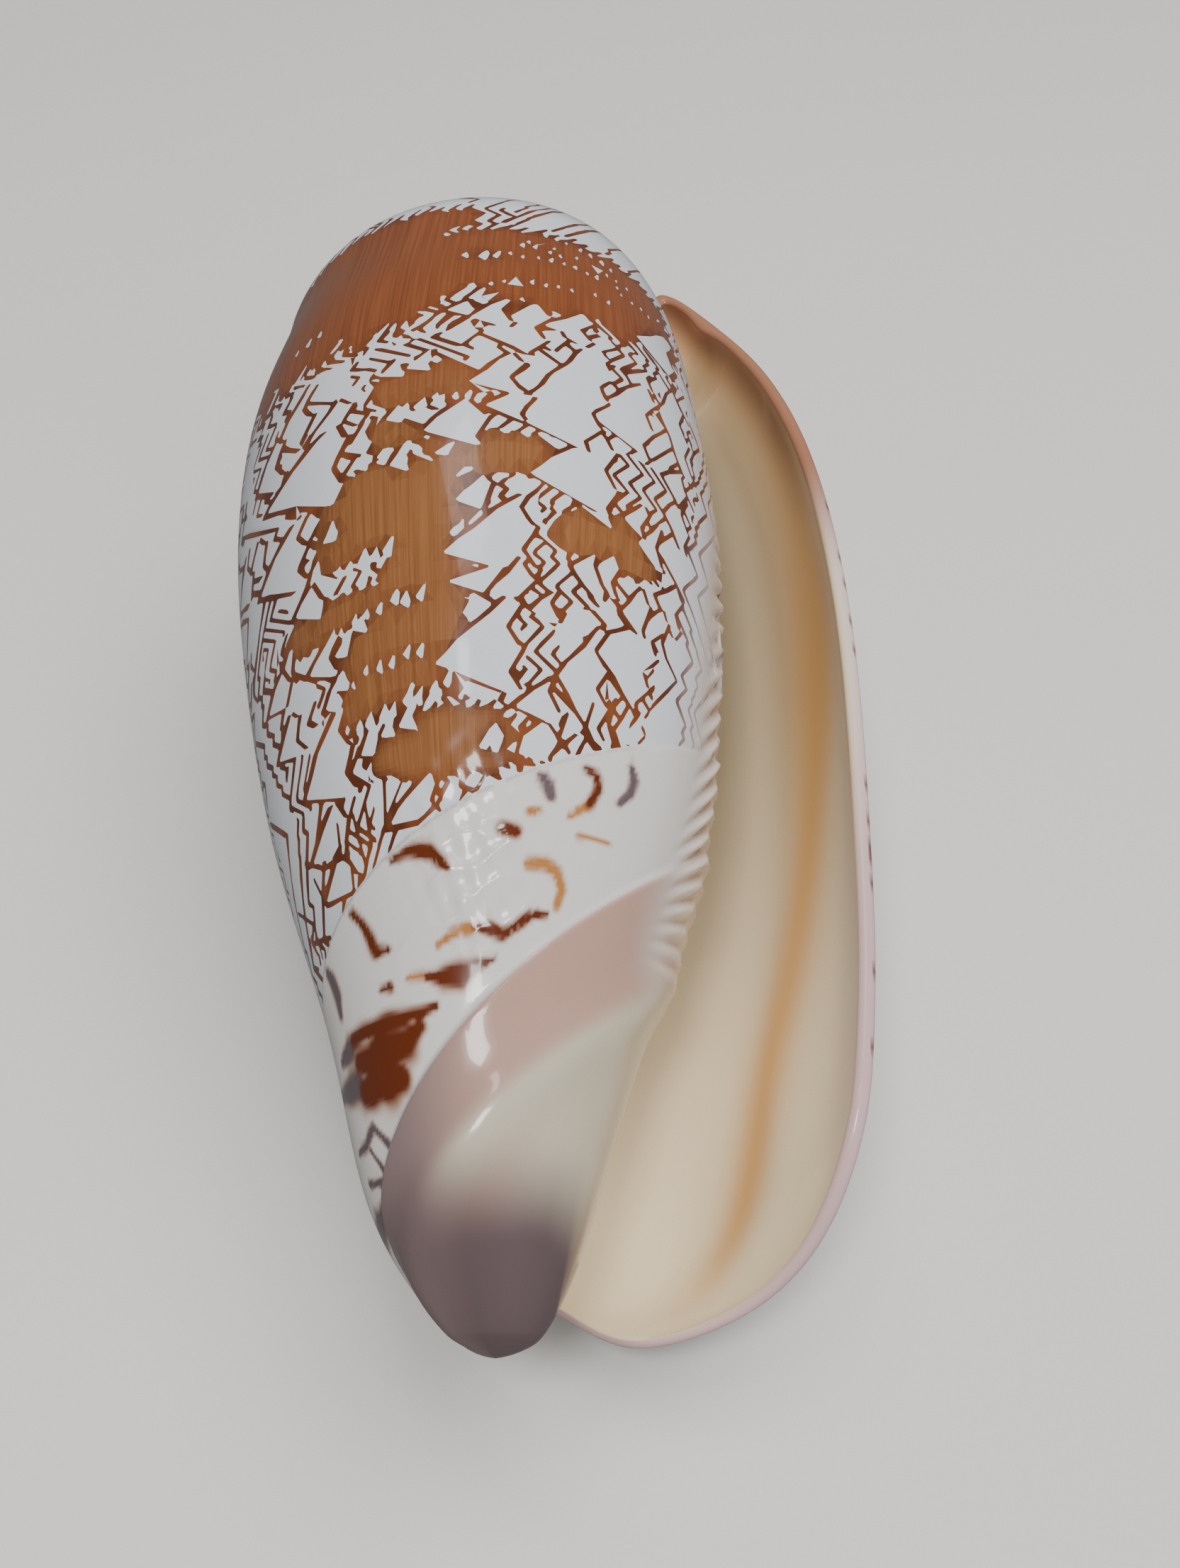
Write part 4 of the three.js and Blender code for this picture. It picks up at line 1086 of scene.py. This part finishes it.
# the rounded free edge joins the outside to the inside
lipLine = s["lipAngle"] + 0 * lipColumn
topLine = s["lipAngle"] + 0 * shoulderStations
outerEdge = np.vstack([
    bodyPoint(wallAngles, 0 * wallAngles),
    bodyPoint(lipLine, lipColumn)[1:],
    wallPoint(topLine, shoulderStations)[1:],
])
innerEdge = np.vstack([
    insidePoint(wallAngles, 0 * wallAngles),
    insidePoint(s["lipAngle"] + 0 * lipInside, lipInside)[1:],
])
rimAngle = np.concatenate([wallAngles, lipLine[1:], topLine[1:]])
rimHeight = np.concatenate([
    plainHeight(wallAngles, bodyStation(wallAngles, 0)),
    plainHeight(lipLine, bodyStation(lipLine, lipColumn))[1:],
    plainHeight(topLine, shoulderStations)[1:],
])


def addRim():
    count = len(outerEdge)
    rounds = np.linspace(0, math.pi, sheetLook["rimSteps"] + 1)
    ahead = np.roll(outerEdge, -1, axis=0) - np.roll(outerEdge, 1, axis=0)
    half = (outerEdge - innerEdge) / 2
    middle = (outerEdge + innerEdge) / 2
    outward = -np.cross(ahead, half)
    outward /= np.maximum(np.linalg.norm(outward, axis=1, keepdims=True), 1e-12)
    fade = np.minimum(1, (count - 1 - np.arange(count)) / 14)
    fade[0] = 0
    bulge = np.minimum(np.linalg.norm(half, axis=1), s["rimBulge"] / 1000) * fade
    places = []
    for turn in rounds:
        places.append(middle + half * math.cos(turn) + outward * (bulge * math.sin(turn))[:, None])
    places = np.stack(places, 1)
    places[:, 0] = outerEdge
    places[:, -1] = innerEdge
    # at the seam the edge closes onto the turn before
    closing = bodyPoint(s["edgeAngle"] + 0 * topShares, topShares)[::-1]
    nearest = np.arange(len(rounds)) * len(closing) // (len(rounds) - 1)
    places[-1] = closing[np.minimum(nearest, len(closing) - 1)]
    places[:, :, 2] = np.maximum(places[:, :, 2], 0)
    angle = np.repeat(rimAngle, len(rounds))
    along = np.tile(np.linspace(0, 1, len(rounds)), count)
    addPiece("rim", angle, along, places.reshape(-1, 3), gridFaces(len(rounds), count, False), None,
             np.repeat(rimHeight, len(rounds)), (0.31, 0.70, 0.69, 0.04))


def addZip(kind, left, right, chart, angle, height):
    # joins two lines of points of different lengths, always by the shorter cross edge
    places = np.vstack([left, right])
    faces = []
    i = 0
    j = 0
    while i + 1 < len(left) or j + 1 < len(right):
        leftLength = np.linalg.norm(left[i + 1] - right[j]) if i + 1 < len(left) else np.inf
        rightLength = np.linalg.norm(right[j + 1] - left[i]) if j + 1 < len(right) else np.inf
        if leftLength <= rightLength:
            faces.append((i, i + 1, len(left) + j))
            i += 1
        else:
            faces.append((i, len(left) + j + 1, len(left) + j))
            j += 1
    along = np.concatenate([np.linspace(0, 1, len(left)), np.linspace(0, 1, len(right))])
    addPiece(kind, np.full(len(places), float(angle)), along, places, np.array(faces), None,
             np.full(len(places), float(height)), chart)


addRim()
wallShares = lipInside[lipInside <= 1]
hollowWall = insidePoint(s["hollowEnd"] + 0 * wallShares, wallShares)
hollowBack = backPoint(s["hollowEnd"] + 0 * backShares, backShares)
addZip("inside", hollowWall, hollowBack, (0.31, 0.745, 0.1, 0.004), s["hollowEnd"], 40)
lastTurn = seamAngles - 360 * s["spireTurns"]
apexRing = spirePoint(lastTurn, s["topStation"] + 0 * lastTurn)
apexSeam = spirePoint(lastTurn[0] + 0 * shoulderStations[::2], shoulderStations[::2])[::-1]
apexLoop = np.vstack([apexRing, apexSeam[1:-1]])
apexPoint = toFloor(np.array([0.0]), (np.array([0.0]), np.array([s["apexHeight"]])))
apexCount = len(apexLoop)
apexFaces = [(k, apexCount, (k + 1) % apexCount) for k in range(apexCount)]
addPiece("spire", np.full(apexCount + 1, lastTurn[0]), np.linspace(0, 1, apexCount + 1),
         np.vstack([apexLoop, apexPoint]), np.array(apexFaces), None,
         np.full(apexCount + 1, s["apexHeight"]), (0.55, 0.745, 0.1, 0.004))

# colours are given as seen on a screen, from 0 to 255
skinLook = {
    "enamel": (200, 202, 208), "band": (206, 202, 198), "plate": (172, 138, 124),
    "plateGrey": (124, 106, 104), "ridge": (186, 178, 158), "tip": (88, 74, 76),
    "callus": (192, 186, 182), "foldTan": (176, 152, 130),
    # foldCrestHighlight and foldGrooveShade are a painted highlight on the fold crests and painted shade in
    # their grooves
    "foldCrestHighlight": (222, 212, 202), "foldGrooveShade": (150, 120, 96), "inside": (240, 220, 182),
    # hollowShade is painted shade for the depth of the opening and the hollow
    "glow": (216, 158, 86), "hollowShade": (160, 142, 110), "rim": (208, 188, 180), "rimLow": (190, 152, 160),
    "rimTop": (152, 104, 80), "spire": (196, 170, 146), "ochre": (168, 112, 58), "blotch": (92, 40, 18),
    # bandStepShade is painted shade along the step at the band's upper border
    "slate": (92, 80, 84), "bandStepShade": (168, 160, 156), "line": (84, 42, 24), "lineLight": (122, 66, 34),
    "field": (132, 76, 44), "fieldDark": (108, 58, 32), "fieldTan": (142, 94, 56),
    "fieldTanDark": (118, 74, 42),
}


def linear(colour):
    value = np.array(colour, float) / 255
    return np.where(value <= 0.04045, value / 12.92, ((value + 0.055) / 1.055) ** 2.4)


skinColours = {name: linear(value) for name, value in skinLook.items()}


def plain(name, piece):
    return np.tile(skinColours[name], (len(piece["angle"]), 1))


def over(colour, top, share):
    return colour + (skinColours[top] - colour) * share[:, None]


def paintBand(colour, angle, height):
    # the white band with its soft strokes, and a thin line of painted shade along the step at its upper
    # border
    away = height - (s["bandHeight"] - s["bandFall"] * angle)
    colour = over(colour, "band", 1 - ease(-0.25, 0.25, away))
    onBand = 1 - ease(-strokeLook["onBand"], 0.0, away)
    cover = {name: np.zeros(len(angle)) for name in ("ochre", "slate", "blotch")}
    for name, *points in bandStrokes:
        share = 1 - ease(strokeLook["core"], strokeLook["soft"], strokeAway(points, angle, height))
        cover[name] = np.maximum(cover[name], share * onBand)
    halo = np.max(list(cover.values()), axis=0)
    colour = over(colour, "ochre", np.minimum(1, halo * 1.5) * 0.7)
    for name, share in cover.items():
        colour = over(colour, name, np.minimum(1, share * 1.25) ** 1.8)
    # painted shade: a thin darker line along the step of the band's upper border
    return over(colour, "bandStepShade", np.exp(-((away + 0.05) / 0.13) ** 2) * ease(48, 56, angle) * 0.6)


def paintPlate(plate, angle, height):
    # pinkish above, grey to the left, pale along and below the ridge, dark at the tip
    ridgeAway = height - (s["ridgeHeight"] - s["ridgeFall"] * angle)
    plate = over(plate, "plateGrey", ease(85, 135, angle))
    ridgeShare = np.exp(-(np.maximum(ridgeAway, -0.4 * ridgeAway) / 1.0) ** 2)
    plate = over(plate, "ridge", ridgeShare * (1 - ease(95, 130, angle)))
    plate = over(plate, "ridge", (1 - ease(-1, 0.5, ridgeAway)) * (1 - ease(60, 105, angle)) * 0.85)
    darkTop = 9.2 - 0.03 * np.maximum(0, 55 - angle) - 0.012 * np.maximum(0, angle - 70)
    dark = 1 - ease(-4.2, 1.6, height - darkTop)
    return over(plate, "tip", dark * (1 - 0.4 * ease(105, 150, angle)))


def paintBody(piece):
    angle = piece["angle"]
    height = piece["heights"]
    colour = paintBand(plain("enamel", piece), angle, height)
    front = 1 - ease(s["plateEnd"] - 5, s["plateEnd"] + 30, angle)
    onPlate = (1 - ease(-0.35, 0.15, height - (s["plateHeight"] - s["plateFall"] * angle))) * front
    plate = paintPlate(plain("plate", piece), angle, height)
    colour = colour + (plate - colour) * onPlate[:, None]
    # the glaze beside the slit hides the markings
    glazeEnd = blend(46, 15, ease(46, 64, height))
    glaze = 1 - ease(0.4 * glazeEnd, glazeEnd, angle)
    piece["veil"] = glaze
    colour = over(colour, "callus", glaze * ease(18, 23, height))
    inFold = (1 - ease(8, 30, angle)) * ease(17, 22, height) * (1 - ease(46, 60, height))
    colour = over(colour, "foldTan", inFold * 0.75)
    if piece["kind"] == "body":
        station = bodyStation(angle, piece["along"])
        crest = foldRise(angle - s["edgeAngle"], station, 1) / foldLook["rise"]
        # painted highlight on the fold crests and painted shade in the grooves, following the relief
        colour = over(colour, "foldCrestHighlight", np.clip(crest * 1.3, 0, 1))
        colour = over(colour, "foldGrooveShade", np.clip(-crest * 1.6, 0, 1) * 0.8)
    return colour


def paintBack(piece):
    colour = over(plain("callus", piece), "foldTan", ease(335, 365, piece["angle"]) * 0.7)
    # painted shade: darker deeper in the hollow, far from the lip
    return over(colour, "hollowShade", 1 - ease(250, 340, piece["angle"]))


def paintInside(piece):
    # cream, with an orange streak that leaves the lip towards the front, and painted shade further in behind
    # the lip and higher up
    height = piece["heights"]
    behind = s["lipAngle"] - piece["angle"]
    colour = over(plain("inside", piece), "hollowShade", ease(20, 80, behind) * ease(22, 58, height))
    glowAt = 9 + 50 * np.exp(-height / 16)
    glowWide = 6 + 0.1 * glowAt + 8 * ease(30, 50, height)
    glowShare = np.exp(-((behind - glowAt) / glowWide) ** 2)
    colour = over(colour, "glow", glowShare * (0.85 - 0.35 * ease(40, 70, height)) * ease(2, 14, height))
    colour = over(colour, "rim", (1 - ease(0, 9, behind)) * (1 - ease(50, 62, height)) * 0.5)
    return over(colour, "rimTop", ease(50, 66, height) * (1 - ease(2, 16, behind)) * 0.9)


def paintRim(piece):
    # mauve at the front, brown at the top, with dark dashes where the lines reach the lip
    height = piece["heights"]
    along = piece["along"]
    colour = over(plain("rim", piece), "inside", ease(0.35, 0.9, along) * 0.8)
    colour = over(colour, "rimLow", (1 - ease(24, 44, height)) * 0.7)
    colour = over(colour, "rimTop", ease(52, 66, height))
    dash = np.sin(height * 4.1) + np.sin(height * 2.3 + 1.0) > 0.75
    onOutside = (along < 0.3) & (height > 16) & (height < 62) & (piece["angle"] > s["lipAngle"] - 1)
    return over(colour, "line", (dash & onOutside) * 0.8)


painters = {"body": paintBody, "tip": paintBody, "back": paintBack, "inside": paintInside, "rim": paintRim}
plainKinds = {"shoulder": "spire", "spire": "spire", "backTip": "tip"}


def paintSkin(piece):
    kind = piece["kind"]
    piece["veil"] = np.ones(len(piece["angle"]))
    if kind in plainKinds:
        piece["skin"] = plain(plainKinds[kind], piece)
    else:
        piece["skin"] = painters[kind](piece)


def joinPieces():
    # one mesh: points that lie on each other become one
    start = 0
    places = []
    faces = []
    for piece in pieces:
        paintSkin(piece)
        places.append(piece["places"])
        faces.append(piece["faces"] + start)
        start += len(piece["places"])
    places = np.vstack(places)
    faces = np.vstack(faces)
    key = np.round(places * 1e6 / 0.5).astype(np.int64)
    first, number = np.unique(key, axis=0, return_index=True, return_inverse=True)[1:]
    joined = number.ravel()[faces]
    good = (joined[:, 0] != joined[:, 1]) & (joined[:, 1] != joined[:, 2]) & (joined[:, 2] != joined[:, 0])
    return places, faces[good], first, joined[good]


def gather(name):
    return np.concatenate([piece[name] for piece in pieces])


def setValues(mesh, name, kind, domain, slot, values):
    attribute = mesh.attributes.new(name, kind, domain)
    attribute.data.foreach_set(slot, values)


def chartPlaces(piece):
    left, low, wide, tall = piece["chart"]
    margin = 0.002
    shares = []
    for values in (piece["angle"], piece["along"]):
        shares.append((values - values.min()) / max(values.max() - values.min(), 1e-9))
    return np.stack([left + margin + shares[0] * (wide - 2 * margin), low + shares[1] * tall * 0.98], 1)


def makeShell():
    places, faces, first, joined = joinPieces()
    mesh = bpy.data.meshes.new("tentOlive")
    mesh.from_pydata(places[first].tolist(), [], joined.tolist())
    mesh.validate()
    angle = gather("angle")
    height = gather("heights")
    skin = np.hstack([gather("skin"), np.ones((len(angle), 1))])
    wrap = np.stack([sheetX(angle), height, 0 * angle], 1)
    setValues(mesh, "skin", "FLOAT_COLOR", "POINT", "color", skin[first].ravel())
    setValues(mesh, "veil", "FLOAT", "POINT", "value", gather("veil")[first])
    setValues(mesh, "wrap", "FLOAT_VECTOR", "POINT", "vector", wrap[first].ravel())
    # a face is dyed where its middle lies on the paint
    onBody = (faces < len(pieces[0]["angle"])).all(axis=1)
    middleAngle = angle[faces].mean(axis=1)
    middleHeight = height[faces].mean(axis=1)
    pigment = np.where(onBody, readPaint(tentSharp, middleAngle, middleHeight) > 0.5, 0).astype(float)
    field = np.where(onBody, readPaint(tentBroad, middleAngle, middleHeight), 0)
    setValues(mesh, "pigment", "FLOAT", "FACE", "value", pigment)
    setValues(mesh, "field", "FLOAT", "FACE", "value", field)
    chart = mesh.uv_layers.new(name="OFBake")
    uv = np.vstack([chartPlaces(piece) for piece in pieces])
    chart.data.foreach_set("uv", uv[faces.ravel()].ravel())
    mesh.shade_smooth()
    own = np.zeros(len(mesh.vertices) * 3)
    mesh.vertex_normals.foreach_get("vector", own)
    own = own.reshape(-1, 3)
    normals = gather("normals")[first]
    agree = (normals * own).sum(axis=1) > 0.8
    normals = np.where(agree[:, None], normals, own)
    mesh.normals_split_custom_set_from_vertices(normals.tolist())
    shell = bpy.data.objects.new("tentOliveShell", mesh)
    bpy.context.scene.collection.objects.link(shell)
    print("shell mesh", len(mesh.vertices), len(mesh.polygons))
    return shell


enamelLook = {
    "roughness": 0.2, "ior": 1.32, "coat": 0.3, "coatRoughness": 0.05,
    "streakStretch": (5.0, 0.1, 1), "streakDetail": 3.0, "streakRange": (0.3, 0.7),
    "inkScale": 0.22, "inkRange": (0.42, 0.68),         # darker and lighter stretches of line
    "tanBelow": 54, "brownAbove": 62,                   # heights where the fields change colour
    "fieldFrom": 0.55, "fieldFull": 0.97,
}


def node(tree, kind, **settings):
    made = tree.nodes.new(kind)
    for name, value in settings.items():
        setattr(made, name, value)
    return made


def streakRamp(tree, noise, dark, light, places):
    ramp = node(tree, "ShaderNodeValToRGB")
    for element, name, place in zip(ramp.color_ramp.elements, (dark, light), places):
        element.position = place
        element.color = (*linear(skinLook[name]), 1)
    tree.links.new(noise.outputs["Fac"], ramp.inputs["Fac"])
    return ramp


def shellMaterial():
    e = enamelLook
    material = bpy.data.materials.new("glossyTentEnamel")
    material.use_nodes = True
    tree = material.node_tree
    link = tree.links.new
    shader = tree.nodes["Principled BSDF"]
    shader.inputs["Roughness"].default_value = e["roughness"]
    shader.inputs["IOR"].default_value = e["ior"]
    shader.inputs["Coat Weight"].default_value = e["coat"]
    shader.inputs["Coat Roughness"].default_value = e["coatRoughness"]
    skin = node(tree, "ShaderNodeAttribute", attribute_name="skin")
    pigment = node(tree, "ShaderNodeAttribute", attribute_name="pigment")
    field = node(tree, "ShaderNodeAttribute", attribute_name="field")
    veil = node(tree, "ShaderNodeAttribute", attribute_name="veil")
    wrap = node(tree, "ShaderNodeAttribute", attribute_name="wrap")
    stretch = node(tree, "ShaderNodeMapping")
    stretch.inputs["Scale"].default_value = e["streakStretch"]
    link(wrap.outputs["Vector"], stretch.inputs["Vector"])
    streaks = node(tree, "ShaderNodeTexNoise")
    streaks.inputs["Scale"].default_value = 1.0
    streaks.inputs["Detail"].default_value = e["streakDetail"]
    link(stretch.outputs["Vector"], streaks.inputs["Vector"])
    brown = streakRamp(tree, streaks, "fieldDark", "field", e["streakRange"])
    tan = streakRamp(tree, streaks, "fieldTanDark", "fieldTan", e["streakRange"])
    parts = node(tree, "ShaderNodeSeparateXYZ")
    link(wrap.outputs["Vector"], parts.inputs["Vector"])
    upper = node(tree, "ShaderNodeMapRange")
    upper.inputs["From Min"].default_value = e["tanBelow"]
    upper.inputs["From Max"].default_value = e["brownAbove"]
    link(parts.outputs["Y"], upper.inputs["Value"])
    ground = node(tree, "ShaderNodeMix", data_type="RGBA")
    link(upper.outputs["Result"], ground.inputs["Factor"])
    link(tan.outputs["Color"], ground.inputs[6])
    link(brown.outputs["Color"], ground.inputs[7])
    patches = node(tree, "ShaderNodeTexNoise")
    patches.inputs["Scale"].default_value = e["inkScale"]
    link(wrap.outputs["Vector"], patches.inputs["Vector"])
    inked = streakRamp(tree, patches, "line", "lineLight", e["inkRange"])
    inField = node(tree, "ShaderNodeMapRange")
    inField.inputs["From Min"].default_value = e["fieldFrom"]
    inField.inputs["From Max"].default_value = e["fieldFull"]
    link(field.outputs["Fac"], inField.inputs["Value"])
    dye = node(tree, "ShaderNodeMix", data_type="RGBA")
    link(inField.outputs["Result"], dye.inputs["Factor"])
    link(inked.outputs["Color"], dye.inputs[6])
    link(ground.outputs[2], dye.inputs[7])
    clear = node(tree, "ShaderNodeMath", operation="SUBTRACT")
    clear.inputs[0].default_value = 1
    link(veil.outputs["Fac"], clear.inputs[1])
    shown = node(tree, "ShaderNodeMath", operation="MULTIPLY")
    link(pigment.outputs["Fac"], shown.inputs[0])
    link(clear.outputs["Value"], shown.inputs[1])
    finish = node(tree, "ShaderNodeMix", data_type="RGBA")
    link(shown.outputs["Value"], finish.inputs["Factor"])
    link(skin.outputs["Color"], finish.inputs[6])
    link(dye.outputs[2], finish.inputs[7])
    link(finish.outputs[2], shader.inputs["Base Color"])
    return material


shell = makeShell()
shell.data.materials.append(shellMaterial())
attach(shell, "root")
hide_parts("shell")

studioLook = {
    "floor": (214, 212, 208), "floorHalf": 3.0, "floorRoughness": 0.6,
    "world": (212, 212, 212), "worldStrength": 0.24, "target": (0, 0, 0.02),
    # lights: place, width, height, power in watts, whether it shows as a highlight
    "lights": {
        "highWindow": ((-0.09, 0.18, 0.58), 0.13, 0.16, 0.3, True),
        "middleWindow": ((-0.12, 0.0, 0.60), 0.07, 0.05, 0.16, True),
        "lowWindow": ((-0.09, -0.21, 0.57), 0.12, 0.12, 1.6, True),
        "ceilingBox": ((0.22, 0.06, 0.70), 0.6, 0.6, 4.9, False),
        "sideBox": ((0.30, -0.45, 0.40), 0.4, 0.4, 1.2, False),
    },
}


def addStudio():
    mesh = bpy.data.meshes.new("floor")
    half = studioLook["floorHalf"]
    corners = [(-half, -half, 0), (half, -half, 0), (half, half, 0), (-half, half, 0)]
    mesh.from_pydata(corners, [], [(0, 1, 2, 3)])
    floor = bpy.data.objects.new("paleFloor", mesh)
    bpy.context.scene.collection.objects.link(floor)
    material = bpy.data.materials.new("paleFloor")
    material.use_nodes = True
    shader = material.node_tree.nodes["Principled BSDF"]
    shader.inputs["Base Color"].default_value = (*linear(studioLook["floor"]), 1)
    shader.inputs["Roughness"].default_value = studioLook["floorRoughness"]
    mesh.materials.append(material)
    floor.visible_glossy = False                        # it would wash the lines out at the sides
    world = bpy.data.worlds.new("softRoom")
    world.use_nodes = True
    back = world.node_tree.nodes["Background"]
    back.inputs["Color"].default_value = (*linear(studioLook["world"]), 1)
    back.inputs["Strength"].default_value = studioLook["worldStrength"]
    bpy.context.scene.world = world


def addSoftbox(name, place, wide, tall, power, mirrored):
    light = bpy.data.lights.new(name, "AREA")
    light.shape = "RECTANGLE"
    light.size = wide
    light.size_y = tall
    light.energy = power
    box = bpy.data.objects.new(name, light)
    box.location = place
    aim = Vector(studioLook["target"]) - Vector(place)
    box.rotation_euler = aim.to_track_quat("-Z", "Y").to_euler()
    box.visible_glossy = mirrored
    bpy.context.scene.collection.objects.link(box)


addStudio()
for name, light in studioLook["lights"].items():
    addSoftbox(name, *light)
print("studio lit")

cameraLook = {"focal": 2000.0, "frameTall": 2212.0, "sensor": 36.0, "place": (5.203, -14.684, 82.151),
              "right": (0.99998, -0.00535, -0.00129), "up": (0.00522, 0.84645, 0.53245)}


def addCamera():
    # the camera was fitted to the shell before it was laid down, so it is turned with it
    c = cameraLook
    right = Vector(c["right"]).normalized()
    up = Vector(c["up"])
    up = (up - right * up.dot(right)).normalized()
    back = right.cross(up)
    turn = Matrix((right, up, back)).transposed().to_4x4()
    turn.translation = Vector(c["place"])
    lay = Matrix.Rotation(math.radians(s["pitch"]), 4, "X")
    lay.translation = Vector(s["layShift"])
    placed = lay @ turn
    placed.translation = placed.translation / 1000
    data = bpy.data.cameras.new("photoView")
    data.sensor_fit = "VERTICAL"
    data.sensor_height = c["sensor"]
    data.lens = c["sensor"] * c["focal"] / c["frameTall"]
    data.clip_start = 0.005
    camera = bpy.data.objects.new("photoView", data)
    camera.matrix_world = placed
    bpy.context.scene.collection.objects.link(camera)
    bpy.context.scene.camera = camera


addCamera()
print("scene ready")
